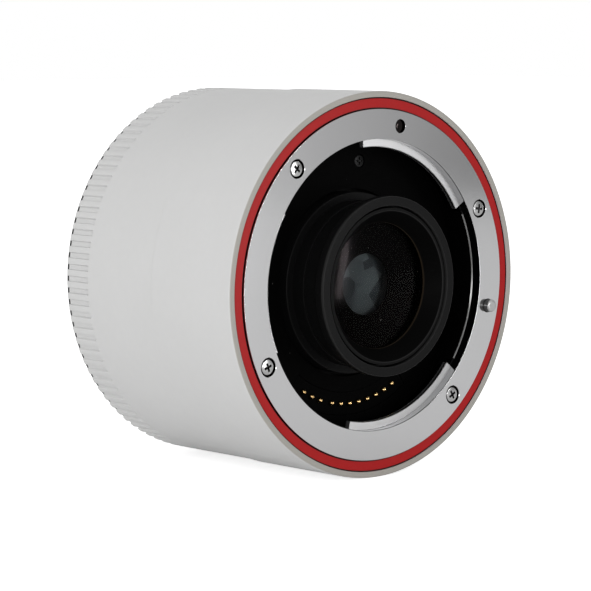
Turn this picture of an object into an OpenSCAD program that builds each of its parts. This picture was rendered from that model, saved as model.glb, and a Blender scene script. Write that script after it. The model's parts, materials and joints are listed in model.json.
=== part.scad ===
// A teleconverter: a short barrel with glass inside that fits between a camera and a lens.
// It lies on its side. The lens end faces -Y, the camera end faces +Y and the index is at the top.
// The origin is the centre of the camera-side mount face.

/* [Mounts] */
// Distance from the camera-side mount face to the lens-side mount face
flange_gap = 50; // [48:0.5:60]
// Diameter of the throat of the lens mount
throat_d = 54; // [53:0.5:58]
// Width of the chrome face round the throat
mount_face_w = 5.5; // [5:0.1:7]
// How far the bayonet tabs reach into the throat
tab_reach = 1.5; // [1:0.1:1.8]
// Depth of the tabs behind the lens face
tab_depth = 1.6; // [1.2:0.1:2.2]
// Thickness of a bayonet tab
tab_t = 1; // [0.8:0.1:1.4]
// Length of the camera-side bayonet behind its face
bayonet_len = 6.4; // [5.6:0.1:7]
// Thickness of the camera-side mount flange
rear_flange_t = 2; // [1.8:0.1:3]

/* [Barrel] */
// Width of the red ring round the chrome face
red_ring_w = 1.95; // [1.5:0.05:3]
// Width of the barrel lip round the red ring
lip_w = 1.15; // [0.8:0.05:2]
// Depth of the red ring behind the lens face
red_ring_depth = 0.4; // [0.2:0.1:0.8]
// Step in radius from the front barrel down to the rear barrel
barrel_step = 0.2; // [0.1:0.05:0.4]
// Wall of the rear barrel
shell_wall = 2; // [1.7:0.1:2.6]
// Wall of the frame tube inside the barrel
frame_wall = 1.8; // [1.4:0.1:2]
// Depth of the barrel seam behind the lens face
seam_depth = 22; // [21:0.5:26]
// Length of the ribbed grip
grip_len = 6.5; // [4:0.5:10]
// Number of grooves round the grip
groove_count = 100; // [60:1:110]
// Depth of a grip groove
groove_depth = 0.55; // [0.3:0.05:0.6]

/* [Throat] */
// Depth of the black floor behind the lens face
floor_depth = 7.7; // [7.2:0.1:9]
// Thickness of the floor
floor_t = 1; // [0.8:0.1:1.4]
// How far the contact circle lies inside the throat
contact_inset = 4.28; // [4:0.02:4.6]
// Diameter of a contact pin
pin_d = 1; // [0.8:0.05:1.2]
// How far the contact pins stand out of the floor
pin_proud = 0.7; // [0.5:0.1:1]
// Travel of a contact pin
pin_travel = 0.7; // [0.4:0.1:0.9]

/* [Optics] */
// Diameter of the glass
glass_d = 25.1; // [23:0.1:25.6]
// Wall of the tube that holds the glass
tube_wall = 2; // [1.6:0.1:2.2]
// How far the lens cell stands out of the lens face
cell_proud = 3.3; // [2.5:0.1:5]

/* [Release] */
// Diameter of the tip of the lens lock pin
lock_tip_d = 2.4; // [2:0.1:2.5]
// How far the lock pin stands out of the lens face
lock_proud = 1.3; // [1:0.1:1.6]
// Travel of the release lever
release_travel = 2; // [1.8:0.1:2.4]
// Length of the thumb pad
pad_len = 12; // [11:0.5:16]
// Width of the thumb pad
pad_w = 8; // [6:0.5:10]

/* [Hidden] */
$fn = 96;
PIN_COUNT = 11;
LENS_COUNT = 9;
SPACER_COUNT = 4;
PIN_NODES = [for (i = [1 : PIN_COUNT]) str("contact_pin_", i < 10 ? "0" : "", i)];
LENS_NODES = [for (i = [1 : LENS_COUNT]) str("lens_", i)];
SPACER_NODES = [for (i = [1 : SPACER_COUNT]) str("spacer_", i)];

// Clearances
seat_gap = 0.05;
slide_gap = 0.1;
trim_gap = 0.1;
cut = 0.5;

// Screws: the head, its recess, the shank and the cross slot
head_r = 1.45;
head_h = 0.95;
recess_r = 1.75;
shank_r = 1;
shank_fit = 0.03;
clear_hole_r = 1.15;
slot_w = 0.42;
slot_l = 1.7;
slot_deep = 0.5;
slot_angle = 20;
mount_screw_len = 5;
small_head_r = 1.2;
small_head_h = 0.7;
small_shank_r = 0.7;
small_screw_len = 3;

// Radii of the lens mount and the barrel, from the throat outwards
throat_r = throat_d / 2;
tab_r = throat_r - tab_reach;
mount_r = throat_r + mount_face_w;
mount_hole_r = throat_r + mount_face_w / 2;
clamp_w = 1.3;
shoulder_r = mount_r - clamp_w;
red_in_r = mount_r + trim_gap;
red_out_r = red_in_r + red_ring_w;
lip_in_r = red_out_r + trim_gap;
front_r = lip_in_r + lip_w;
rear_r = front_r - barrel_step;
shell_in_r = rear_r - shell_wall;
frame_r = shell_in_r - 2 * slide_gap;
frame_in_r = frame_r - frame_wall;
lip_round = 0.4;

// Angles seen from the lens end, anticlockwise from +X
index_angle = 90;
lock_angle = 0;
screw_spread_angle = 53;
screw_angles = [for (middle = [90, 270], side = [-1, 1]) middle + side * screw_spread_angle];
tab_angles = [[42, 106], [158, 216], [269, 332]];
gap_angles = [for (i = [0 : 2]) [tab_angles[i][1], tab_angles[(i + 1) % 3][0] + (i == 2 ? 360 : 0)]];
lug_angles = [[50, 98], [163, 211], [271, 330]];

// Depths of the lens mount, measured along the axis from the camera-side face
lens_face = flange_gap;
tab_root = 0.5;
mount_ring_t = tab_depth + tab_root;
ring_back = lens_face - mount_ring_t;
plate_t = 0.3;
frame_front = ring_back - plate_t;
shell_flange_t = 1.3;
shell_flange_back = ring_back - shell_flange_t;
red_front = lens_face - red_ring_depth;
seam = lens_face - seam_depth;
seam_gap = 0.1;

// Index hole in the chrome face
index_hole_r = 1.3;
index_hole_deep = 0.9;
index_cone_deep = 0.7;

// Spring plate behind the mount, with a tongue behind each tab
plate_peep = 0.15;
plate_gap_r = throat_r - plate_peep;
plate_tab_r = throat_r + plate_peep / 2;
tongue_set_back = 0.35;
tongue_r = tab_r + tongue_set_back;
tongue_angle = 44;
root_angle = 3;
tongue_angles = [
    [tab_angles[0][0] - root_angle, tab_angles[0][0] + tongue_angle],
    [tab_angles[1][0] - root_angle, tab_angles[1][0] + tongue_angle],
    [tab_angles[2][1] - tongue_angle, tab_angles[2][1] + root_angle]
];
root_inset_angle = 0.3;
root_angles = [
    [tongue_angles[0][0] - root_inset_angle, tab_angles[0][0] - root_inset_angle],
    [tongue_angles[1][0] - root_inset_angle, tab_angles[1][0] - root_inset_angle],
    [tab_angles[2][1] + root_inset_angle, tongue_angles[2][1] + root_inset_angle]
];
tongue_room = 1.6;
tongue_front = lens_face - tab_depth - tab_t - tongue_room;

// Throat floor, contacts and the web of the frame behind them
baffle_in_r = throat_r + seat_gap;
baffle_wall = 0.85;
baffle_out_r = baffle_in_r + baffle_wall;
frame_bore_r = baffle_out_r + slide_gap;
cavity_step = 1;
cavity_r = throat_r - cavity_step;
floor_front = lens_face - floor_depth;
floor_back = floor_front - floor_t;
tip_z = floor_front + pin_proud;
block_front = tip_z - pin_travel - slide_gap;
block_h = 3.3;
block_back = block_front - block_h;
contact_board_t = 1;
contact_pad_h = 1.4;
web_front = block_back - contact_board_t - contact_pad_h;
web_t = 3.5;
web_back = web_front - web_t;
contact_r = throat_r - contact_inset;
block_w = 4.2;
block_in_r = contact_r - block_w / 2;
block_out_r = contact_r + block_w / 2;
block_gap_angle = 0.4;
block_angles = [243.5, 316.5];
contact_pitch_angle = 5.75;
first_contact_angle = 250.5;
group_gap_angle = 7.6;
first_group = 3;
pin_shoulder_w = 0.25;
pin_shoulder_r = pin_d / 2 + pin_shoulder_w;
pin_shoulder_h = 0.5;
pin_tail_r = 0.35;
pin_tail_h = 0.8;
pin_fit = 0.06;
pin_bore_r = pin_d / 2 + pin_fit;
spring_bore_r = pin_shoulder_r + pin_fit;
pin_guide = 1.4;
pin_seat = block_front - pin_guide;
contact_spring_in_r = pin_tail_r + 2 * pin_fit;
contact_spring_out_r = pin_shoulder_r - pin_fit / 2;
baffle_screw_angles = [94.6, 205, 335];
post_r = 1.9;

// Optical tube and lens cell
glass_r = glass_d / 2;
bore_r = glass_r + seat_gap;
tube_r = bore_r + tube_wall;
flange_gap_r = 0.3;
flange_r = block_in_r - flange_gap_r;
flange_t = 2;
screw_edge = 2.4;
tube_screw_r = flange_r - screw_edge;
tube_screw_angles = [60, 180, 300];
cell_front = lens_face + cell_proud;
cell_bore_r = tube_r + seat_gap;
neck_wall = 0.6;
neck_r = tube_r + neck_wall;
neck_step = 0.3;
body_r = neck_r + neck_step;
rim_w = 1.1;
rim_r = body_r + rim_w;
collar_w = 1.5;
collar_r = body_r + collar_w;
collar_gap = 0.6;
rim_len = 2.1;
rim_chamfer = 0.4;
neck_depth = 3.3;
neck_back = lens_face - neck_depth;
collar_proud = 1.5;
collar_front = floor_front + collar_proud;
collar_sunk = 1.1;
collar_back = floor_back - collar_sunk;
ring_wall = 0.6;
ring_bore_r = tube_r - ring_wall;
glass_depth = 2.4;
glass_front = cell_front - glass_depth;
glass_seat = 1.2;
tube_front = glass_front - glass_seat;
ring_depth = 0.6;
ring_front = cell_front - ring_depth;
ring_hold = 0.85;
ring_in_r = glass_r - ring_hold;
ring_lip = 0.35;
ring_lip_r = glass_r + ring_lip;
ring_band_w = 0.7;
ring_band_r = ring_lip_r + ring_band_w;

// Rear stack: mount flange, trim web, rear plate
trim_web_t = 0.8;
plate_rear = rear_flange_t + trim_web_t;
rear_plate_t = 6;
plate_front = plate_rear + rear_plate_t;
rear_recess_step = 2.4;
rear_recess_r = throat_r - rear_recess_step;
rear_recess_deep = 3;
recess_floor = plate_rear + rear_recess_deep;
tube_inset = 1.2;
tube_back = recess_floor + tube_inset;
tube_hole_r = tube_r + slide_gap;
shell_flange_in_r = frame_in_r + slide_gap;
rear_shell_flange_t = 1.15;
shell_set_in = 0.4;
rear_shell_back = rear_flange_t + shell_set_in;
frame_back = plate_rear + rear_shell_flange_t + 2 * seat_gap;
boss_r = 2.2;
boss_len = 7;
rear_screw_r = frame_in_r - boss_r;
rear_screw_angles = [45, 135, 225, 315];
rear_thread = 6;

// Rear bayonet, sized to lock behind tabs like those of the lens mount
male_fit = 0.2;
male_r = tab_r - male_fit;
male_wall = 1.2;
male_in_r = male_r - male_wall;
lug_r = throat_r - 2 * male_fit;
lug_front = -(tab_depth + tab_t + seat_gap);
lug_t = 1.3;
rear_mount_r = mount_r - trim_gap;
lock_hole_r = 1.45;
rear_contacts = 8;
block_proud = 1;
pad_face = bayonet_len + block_proud;
pad_r = 0.8;
pad_t = 0.6;
pad_out = 0.1;
rear_block_in_w = 1.5;
rear_block_in_r = contact_r - rear_block_in_w;
rear_block_fit = 0.15;
rear_block_out_r = male_in_r - rear_block_fit;
rear_block_angles = [264, 315.5];
rear_baffle_t = 1.15;
rear_baffle_screw_angles = [30, 150];
rear_baffle_screw_r = (tube_hole_r + rear_recess_r) / 2;
rear_mark_angle = 30;
rear_mark_r = 0.6;
rear_mark_out = 0.3;

// Trim ring behind the ribs
trim_in_r = rear_mount_r + trim_gap;
trim_step = 0.45;
trim_r = rear_r - trim_step;
trim_flat = 0.4;
trim_back = 0.15;
trim_slope_w = 1.4;
trim_back_r = trim_r - trim_slope_w;

// Grip grooves: each is cut by a round bar that stands just outside the barrel
groove_cut_r = 0.65;
groove_centre_r = rear_r - groove_depth + groove_cut_r;

// Circuit board and its cables
post_h = 2.3;
board_t = 1.2;
board_front = web_back - post_h;
board_back = board_front - board_t;
board_in_gap = 1.6;
board_in_r = tube_r + board_in_gap;
board_out_gap = 2.2;
board_out_r = frame_in_r - board_out_gap;
board_angles = [192, 340];
board_post_r = 2;
board_screw_r = board_out_r - screw_edge;
board_screw_angles = [205, 325];
chip_w = 7;
chip_h = 1.2;
chip_angle = 230;
flex_t = 0.2;
front_flex_gap = 0.35;
front_flex_r = block_out_r + front_flex_gap;
front_flex_angles = [268, 292];
rear_flex_r = (rear_block_in_r + rear_block_out_r) / 2;
rear_flex_angles = [278, 300];
flex_room = 0.3;
flex_room_angle = 2;

// Release: slider, lever and spring
lock_tip_r = lock_tip_d / 2;
lock_shank_step = 0.2;
lock_shank_r = lock_tip_r - lock_shank_step;
lock_fit = 0.08;
lock_bore_r = lock_tip_r + lock_fit;
slider_gap = 0.3;
slider_front = floor_back - slider_gap;
slider_len = 8;
slider_back = slider_front - slider_len;
slider_w = 4.8;
slider_in_w = 1.25;
slider_in = mount_hole_r - slider_in_w;
slider_out = frame_r - 2 * slide_gap;
pin_socket = 4;
stem_w = 2.9;
stem_len = 3.9;
stem_deep = 2;
stem_in = slider_out - stem_deep;
stem_mid = slider_back + slider_len / 2;
slot_corner = 0.3;
pad_h = 2.4;
pad_corner = 2;
pad_gap = 0.15;
pad_ahead = 1;
pad_mid = stem_mid + pad_ahead;
thumb_grooves = 5;
thumb_groove_r = 0.6;
thumb_pitch = 1.8;
guide_w = 10;
guide_in_w = 3.3;
guide_in = mount_hole_r - guide_in_w;
spring_r = 1.5;
spring_wire_r = 0.22;
spring_curls = 6;
spring_len = 9.3;
spring_sides = 6;
spring_steps = 8;
spring_x = (slider_in + slider_out) / 2;
spring_back = slider_back - spring_len;
spring_room = 0.3;
spring_hole_r = spring_r + spring_wire_r + spring_room;
guide_end_t = 1.5;
guide_back = spring_back - guide_end_t;
tip_round = 0.4;

// Glass: radius of the front and back surfaces, thickness, and the share of the air behind it.
// A positive radius bulges outwards, and a share of 0 means cemented to the next element.
lens_table = [
    [70, 90, 4, 0.4],
    [-60, -25, 1.5, 0],
    [25, 80, 5.4, 0.17],
    [45, 28, 5.7, 0],
    [-28, -30, 1.5, 0],
    [30, 60, 5.1, 0.12],
    [40, 26, 6.2, 0],
    [-26, -80, 1.5, 0.31],
    [50, 55, 5.6, 0]
];
cement_gap = 0.02;
arc_sides = 720;
glass_inset = 1.4;
glass_back = tube_back + glass_inset;
glass_total = sum([for (row = lens_table) row[2]]);
cement_total = cement_gap * len([for (i = [0 : LENS_COUNT - 2]) if (lens_table[i][3] == 0) i]);
air_total = glass_front - glass_back - glass_total - cement_total;
spacer_after = [for (i = [0 : LENS_COUNT - 2]) if (lens_table[i][3] > 0) i];
spacer_w = 1.4;
spacer_in_r = glass_r - spacer_w;
stop_r = 5.65;
stop_t = 0.4;
rear_ring_w = 1.8;
rear_ring_in_r = glass_r - rear_ring_w;

function sum(list, i = 0) = i == len(list) ? 0 : list[i] + sum(list, i + 1);
// How far a ball of this radius falls away at a distance from its pole
function sag(ball_r, at_r) = abs(ball_r) - sqrt(ball_r * ball_r - at_r * at_r);
function gap_after(i) = lens_table[i][3] > 0 ? lens_table[i][3] * air_total : cement_gap;
function lens_front(i) = i == 0 ? glass_front : lens_back(i - 1) - gap_after(i - 1);
function lens_back(i) = lens_front(i) - lens_table[i][2];
// Height at which a flat ring first meets the back or the front of an element
function seat_behind(i, in_r) = lens_table[i][1] > 0
    ? lens_back(i) + sag(lens_table[i][1], in_r) - seat_gap
    : lens_back(i) - sag(lens_table[i][1], glass_r) - seat_gap;
function seat_before(i, in_r) = lens_table[i][0] > 0
    ? lens_front(i) - sag(lens_table[i][0], in_r) + seat_gap
    : lens_front(i) + sag(lens_table[i][0], glass_r) + seat_gap;
ring_back_z = seat_before(0, ring_in_r);
function contact_angle(i) = first_contact_angle + i * contact_pitch_angle
    + (i >= first_group ? group_gap_angle - contact_pitch_angle : 0);

// Lays the model on its side: the axis that is drawn upwards then points out of the lens end
module on_side() {
    rotate([90, 0, 0]) children();
}

// Puts a piece at a radius and an angle round the axis
module at(angle, radius, z = 0) {
    rotate([0, 0, angle]) translate([radius, 0, z]) children();
}

// A flat ring
module ring(in_r, out_r, z0, z1) {
    translate([0, 0, z0]) rotate_extrude() translate([in_r, 0]) square([out_r - in_r, z1 - z0]);
}

// Part of a flat ring between two angles
module sector(in_r, out_r, span, z0, z1) {
    translate([0, 0, z0])
        rotate([0, 0, span[0]])
            rotate_extrude(angle = span[1] - span[0])
                translate([in_r, 0]) square([out_r - in_r, z1 - z0]);
}

// A straight round hole between two heights
module hole(radius, z0, z1) {
    translate([0, 0, z0]) cylinder(r = radius, h = z1 - z0);
}

// A slab with round corners, standing on its face
module rounded_slab(w, l, corner, h) {
    linear_extrude(h) {
        square([w - 2 * corner, l], center = true);
        square([w, l - 2 * corner], center = true);
        for (x = [-1, 1], y = [-1, 1])
            translate([x * (w / 2 - corner), y * (l / 2 - corner)]) circle(corner);
    }
}

// A cross-head screw with the top of its head at 0, pointing down
module screw(radius, height, shaft_r, length) {
    difference() {
        union() {
            hole(radius, -height, 0);
            hole(shaft_r, -height - length, -height);
        }
        for (turn = [0, 90])
            rotate([0, 0, turn]) translate([0, 0, -slot_deep / 2 + cut / 2])
                cube([slot_l * radius / head_r, slot_w, slot_deep + cut], center = true);
    }
}

module front_shell() {
    color("whitesmoke") on_side() difference() {
        rotate_extrude() {
            polygon([
                [shell_in_r, seam],
                [front_r - seam_gap, seam],
                [front_r, seam + seam_gap],
                [front_r, lens_face - lip_round - seat_gap],
                [lip_in_r, lens_face - lip_round - seat_gap],
                [lip_in_r, ring_back],
                [shoulder_r + seat_gap, ring_back],
                [shoulder_r + seat_gap, shell_flange_back],
                [shell_in_r, shell_flange_back]
            ]);
            translate([lip_in_r, lens_face - lip_round - seat_gap - cut])
                square([front_r - lip_round - lip_in_r, lip_round + cut]);
            translate([front_r - lip_round, lens_face - lip_round - seat_gap]) circle(lip_round);
        }
        at(lock_angle, front_r - 2 * shell_wall, stem_mid) rotate([0, 90, 0])
            translate([release_travel / 2, 0, 0])
                rounded_slab(stem_len + release_travel + 4 * slide_gap, stem_w + 4 * slide_gap,
                    slot_corner, 4 * shell_wall);
    }
}

module rear_shell() {
    color("whitesmoke") on_side() difference() {
        rotate_extrude() polygon([
            [shell_in_r, rear_shell_back],
            [rear_r, rear_shell_back],
            [rear_r, seam - 2 * seam_gap],
            [rear_r - seam_gap, seam - seam_gap],
            [shell_in_r, seam - seam_gap],
            [shell_in_r, plate_rear + seat_gap + rear_shell_flange_t],
            [shell_flange_in_r, plate_rear + seat_gap + rear_shell_flange_t],
            [shell_flange_in_r, plate_rear + seat_gap],
            [shell_in_r, plate_rear + seat_gap]
        ]);
        for (i = [0 : groove_count - 1])
            at(i * 360 / groove_count, groove_centre_r)
                hole(groove_cut_r, rear_shell_back - cut, rear_shell_back + grip_len);
    }
}

module rear_trim_ring() {
    color("dimgray") on_side() difference() {
        rotate_extrude() polygon([
            [rear_recess_r, rear_flange_t],
            [trim_in_r, rear_flange_t],
            [trim_in_r, trim_back],
            [trim_back_r, trim_back],
            [trim_r, rear_shell_back - seat_gap - trim_flat],
            [trim_r, rear_shell_back - seat_gap],
            [frame_r, rear_shell_back - seat_gap],
            [frame_r, plate_rear],
            [rear_recess_r, plate_rear]
        ]);
        for (angle = rear_screw_angles)
            at(angle, rear_screw_r) hole(clear_hole_r, rear_flange_t - cut, plate_rear + cut);
        rear_mark(rear_mark_r + seat_gap);
    }
}

module red_ring() {
    color("firebrick") on_side() ring(red_in_r, red_out_r, ring_back, red_front);
}

module front_mount_ring() {
    color("silver") on_side() difference() {
        union() {
            ring(throat_r, mount_r, ring_back, lens_face);
            for (span = tab_angles) {
                sector(tab_r, throat_r - seat_gap, span,
                    ring_back - tab_t + tab_root, lens_face - tab_depth);
                sector(throat_r - 2 * seat_gap, throat_r + cut, span, ring_back, lens_face - tab_depth);
            }
        }
        for (angle = screw_angles) at(angle, mount_hole_r) {
            hole(clear_hole_r, ring_back - cut, lens_face);
            hole(recess_r, lens_face - head_h - slide_gap, lens_face + cut);
        }
        at(lock_angle, mount_hole_r) hole(lock_bore_r, ring_back - cut, lens_face + cut);
        at(index_angle, mount_hole_r) {
            hole(index_hole_r, lens_face - index_hole_deep, lens_face + cut);
            translate([0, 0, lens_face - index_hole_deep - index_cone_deep])
                cylinder(r1 = 0, r2 = index_hole_r, h = index_cone_deep);
        }
    }
}

module front_mount_screws() {
    color("gainsboro") on_side()
        for (angle = screw_angles) at(angle, mount_hole_r, lens_face - slide_gap)
            rotate([0, 0, slot_angle]) screw(head_r, head_h, shank_r, mount_screw_len);
}

module mount_spring_plate() {
    color("lightsteelblue") on_side() difference() {
        union() {
            ring(plate_tab_r, shoulder_r - seat_gap, frame_front, ring_back);
            for (span = gap_angles)
                sector(plate_gap_r, plate_tab_r + slide_gap, span, frame_front, ring_back);
            for (span = root_angles)
                sector(plate_gap_r + seat_gap, throat_r, span,
                    tongue_front - plate_t, frame_front + plate_t / 2);
            for (span = tongue_angles)
                sector(tongue_r, throat_r - seat_gap, span,
                    tongue_front - plate_t + seat_gap, tongue_front);
        }
        for (angle = screw_angles)
            at(angle, mount_hole_r) hole(clear_hole_r, frame_front - cut, ring_back + cut);
        at(lock_angle, mount_hole_r) hole(lock_bore_r, frame_front - cut, ring_back + cut);
    }
}

// The bars and posts that stand on the frame's web and walls
module frame_lugs() {
    sector(block_in_r, block_out_r, block_angles, web_front - cut, web_front + contact_pad_h);
    for (angle = baffle_screw_angles)
        at(angle, contact_r) hole(post_r, web_front - cut, floor_back);
    for (angle = board_screw_angles)
        at(angle, board_screw_r) hole(board_post_r, board_front, web_back + cut);
    intersection() {
        hole(frame_in_r + cut, 0, lens_face);
        for (angle = rear_screw_angles)
            at(angle, rear_screw_r, plate_front) translate([boss_r / 2, 0, 0])
                linear_extrude(boss_len) {
                    square([2 * boss_r + cut, 2 * boss_r - cut], center = true);
                    translate([-boss_r / 2, 0]) circle(boss_r);
                }
    }
    at(lock_angle, guide_in, guide_back) translate([0, -guide_w / 2, 0])
        cube([frame_in_r - guide_in + cut, guide_w, web_front - cut - guide_back]);
}

// The slider's pocket, open outwards, with the pin's bore ahead and the spring's hole behind
module release_pocket() {
    back = slider_back - release_travel - slide_gap;
    at(lock_angle, slider_in - slide_gap, back) translate([0, -slider_w / 2 - slide_gap, 0])
        cube([front_r, slider_w + 2 * slide_gap, slider_front + seat_gap - back]);
    at(lock_angle, mount_hole_r) hole(lock_bore_r, slider_front - cut, lens_face);
    at(lock_angle, spring_x) hole(spring_hole_r, spring_back - seat_gap, back + cut);
}

module main_frame() {
    color("darkslategray") on_side() difference() {
        union() {
            rotate_extrude() polygon([
                [frame_bore_r, frame_front],
                [shoulder_r, frame_front],
                [shoulder_r, shell_flange_back - seat_gap],
                [frame_r, shell_flange_back - seat_gap],
                [frame_r, frame_back],
                [frame_in_r, frame_back],
                [frame_in_r, web_back],
                [tube_hole_r, web_back],
                [tube_hole_r, web_front],
                [cavity_r, web_front],
                [cavity_r, floor_back],
                [frame_bore_r, floor_back]
            ]);
            frame_lugs();
        }
        release_pocket();
        for (angle = screw_angles)
            at(angle, mount_hole_r)
                hole(shank_r + shank_fit, frame_front - mount_screw_len, frame_front + cut);
        for (angle = baffle_screw_angles)
            at(angle, contact_r) hole(small_shank_r + shank_fit, web_front + cut, floor_back + cut);
        for (angle = tube_screw_angles)
            at(angle, tube_screw_r) hole(shank_r + shank_fit, web_back - cut, web_front + cut);
        for (angle = board_screw_angles)
            at(angle, board_screw_r) hole(small_shank_r + shank_fit, board_front - cut, web_back + cut);
        for (angle = rear_screw_angles)
            at(angle, rear_screw_r)
                hole(shank_r + shank_fit, plate_front - cut, plate_front + boss_len - cut);
        sector(front_flex_r - flex_room, front_flex_r + flex_t + flex_room,
            [front_flex_angles[0] - flex_room_angle, front_flex_angles[1] + flex_room_angle],
            web_back - cut, web_front + cut);
    }
}

module rear_plate() {
    color("darkslategray") on_side() difference() {
        ring(tube_hole_r, frame_in_r - slide_gap, plate_rear, plate_front);
        hole(rear_recess_r, plate_rear - cut, recess_floor);
        for (angle = rear_screw_angles)
            at(angle, rear_screw_r) hole(clear_hole_r, plate_rear - cut, plate_front + cut);
        for (angle = rear_baffle_screw_angles)
            at(angle, rear_baffle_screw_r)
                hole(small_shank_r + shank_fit, recess_floor - cut, plate_front + cut);
        sector(rear_flex_r - flex_room, rear_flex_r + flex_t + flex_room,
            [rear_flex_angles[0] - flex_room_angle, rear_flex_angles[1] + flex_room_angle],
            recess_floor - cut, plate_front + cut);
    }
}

module front_baffle() {
    color("#202020") on_side() difference() {
        union() {
            ring(collar_r + collar_gap, baffle_out_r, floor_back, floor_front);
            ring(baffle_in_r, baffle_out_r, floor_back, frame_front - 3 * slide_gap);
        }
        sector(block_in_r - slide_gap, block_out_r + slide_gap,
            [block_angles[0] - block_gap_angle, block_angles[1] + block_gap_angle],
            floor_back - cut, floor_front + cut);
        for (angle = baffle_screw_angles) at(angle, contact_r) {
            hole(small_shank_r + slide_gap, floor_back - cut, floor_front + cut);
            hole(small_head_r + slide_gap, floor_front - small_head_h, floor_front + cut);
        }
    }
}

module baffle_screws() {
    color("#303030") on_side()
        for (angle = baffle_screw_angles) at(angle, contact_r, floor_front)
            screw(small_head_r, small_head_h, small_shank_r, small_screw_len);
}

module front_contact_block() {
    color("#181818") on_side() difference() {
        sector(block_in_r, block_out_r, block_angles, block_back, block_front);
        for (i = [0 : PIN_COUNT - 1]) at(contact_angle(i), contact_r) {
            hole(pin_bore_r, block_back - cut, block_front + cut);
            hole(spring_bore_r, block_back - cut, pin_seat);
        }
    }
}

module contact_board() {
    color("darkgreen") on_side()
        sector(block_in_r, block_out_r, block_angles, block_back - contact_board_t, block_back);
}

// One contact pin: a round tip, a shoulder that stops it and a tail inside its spring
module contact_pin(i) {
    color("gold") on_side() at(contact_angle(i), contact_r) {
        translate([0, 0, tip_z - pin_d / 2]) sphere(d = pin_d);
        hole(pin_d / 2, pin_seat - pin_shoulder_h, tip_z - pin_d / 2);
        hole(pin_shoulder_r, pin_seat - seat_gap - pin_shoulder_h, pin_seat - seat_gap);
        hole(pin_tail_r, pin_seat - pin_shoulder_h - pin_tail_h / 2, pin_seat - pin_shoulder_h);
    }
}

module contact_springs() {
    color("goldenrod") on_side()
        for (i = [0 : PIN_COUNT - 1]) at(contact_angle(i), contact_r)
            ring(contact_spring_in_r, contact_spring_out_r, block_back,
                pin_seat - pin_shoulder_h - 2 * seat_gap);
}

module front_lens_cell() {
    color("#1c1c1c") on_side() rotate_extrude() polygon([
        [cell_bore_r, web_front + flange_t],
        [body_r, web_front + flange_t],
        [body_r, collar_back],
        [collar_r, collar_back],
        [collar_r, collar_front],
        [body_r, collar_front],
        [body_r, neck_back],
        [neck_r, neck_back],
        [neck_r, cell_front - rim_len],
        [rim_r, cell_front - rim_len],
        [rim_r, cell_front - rim_chamfer],
        [rim_r - rim_chamfer, cell_front],
        [ring_bore_r + slide_gap, cell_front],
        [ring_bore_r, cell_front - rim_chamfer],
        [ring_bore_r, tube_front + seat_gap],
        [cell_bore_r, tube_front + seat_gap]
    ]);
}

module front_retaining_ring() {
    color("#262626") on_side() rotate_extrude() polygon([
        [ring_in_r, ring_back_z],
        [ring_bore_r - seat_gap, ring_back_z],
        [ring_bore_r - seat_gap, ring_front - rim_chamfer],
        [ring_band_r, ring_front],
        [ring_lip_r, ring_front],
        [ring_in_r, ring_back_z + cut]
    ]);
}

module optical_tube() {
    color("#2a2a2a") on_side() difference() {
        union() {
            ring(bore_r, tube_r, tube_back, tube_front);
            ring(bore_r, flange_r, web_front, web_front + flange_t);
        }
        for (angle = tube_screw_angles)
            at(angle, tube_screw_r) hole(clear_hole_r, web_front - cut, web_front + flange_t + cut);
    }
}

module optical_tube_screws() {
    color("gray") on_side()
        for (angle = tube_screw_angles) at(angle, tube_screw_r, web_front + flange_t + head_h)
            screw(head_r, head_h, shank_r, flange_t + web_t - slide_gap);
}

// One glass element: its half section, cut by a round arc on each side, turned about the axis
module lens(i) {
    front = lens_table[i][0];
    back = lens_table[i][1];
    top = lens_front(i) + (front < 0 ? sag(front, glass_r) : 0);
    bottom = lens_back(i) - (back < 0 ? sag(back, glass_r) : 0);
    color("lightcyan", 0.6) on_side() rotate_extrude() difference() {
        intersection() {
            translate([0, bottom]) square([glass_r, top - bottom]);
            if (front > 0) translate([0, lens_front(i) - front]) circle(front, $fn = arc_sides);
            if (back > 0) translate([0, lens_back(i) + back]) circle(back, $fn = arc_sides);
        }
        if (front < 0) translate([0, lens_front(i) - front]) circle(-front, $fn = arc_sides);
        if (back < 0) translate([0, lens_back(i) + back]) circle(-back, $fn = arc_sides);
    }
}

// A ring between two groups of glass; the first one also carries the light stop
module spacer(i) {
    before = spacer_after[i];
    bottom = seat_before(before + 1, spacer_in_r);
    color("#333333") on_side() {
        ring(spacer_in_r, glass_r, bottom, seat_behind(before, spacer_in_r));
        if (i == 0) ring(stop_r, spacer_in_r + seat_gap, bottom + seat_gap, bottom + stop_t);
    }
}

module rear_retaining_ring() {
    color("#262626") on_side()
        ring(rear_ring_in_r, glass_r, tube_back + 2 * slide_gap,
            seat_behind(LENS_COUNT - 1, rear_ring_in_r));
}

module rear_baffle() {
    back = recess_floor - rear_baffle_t;
    color("#202020") on_side() difference() {
        ring(ring_in_r, rear_recess_r - slide_gap, back, recess_floor);
        translate([0, 0, back - seat_gap])
            cylinder(r1 = ring_in_r + rear_baffle_t, r2 = ring_in_r, h = rear_baffle_t);
        sector(rear_block_in_r - slide_gap, throat_r,
            [rear_block_angles[0] - block_gap_angle, rear_block_angles[1] + block_gap_angle],
            back - cut, recess_floor + cut);
        for (angle = rear_baffle_screw_angles) at(angle, rear_baffle_screw_r)
            hole(small_shank_r + slide_gap, back - cut, recess_floor + cut);
    }
}

module rear_baffle_screws() {
    color("#303030") on_side()
        for (angle = rear_baffle_screw_angles)
            at(angle, rear_baffle_screw_r, recess_floor - rear_baffle_t - small_head_h)
                mirror([0, 0, 1]) screw(small_head_r, small_head_h, small_shank_r, small_screw_len);
}

module circuit_board() {
    color("darkgreen") on_side() difference() {
        sector(board_in_r, board_out_r, board_angles, board_back, board_front);
        for (angle = board_screw_angles)
            at(angle, board_screw_r) hole(small_shank_r + slide_gap, board_back - cut, board_front + cut);
    }
}

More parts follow.
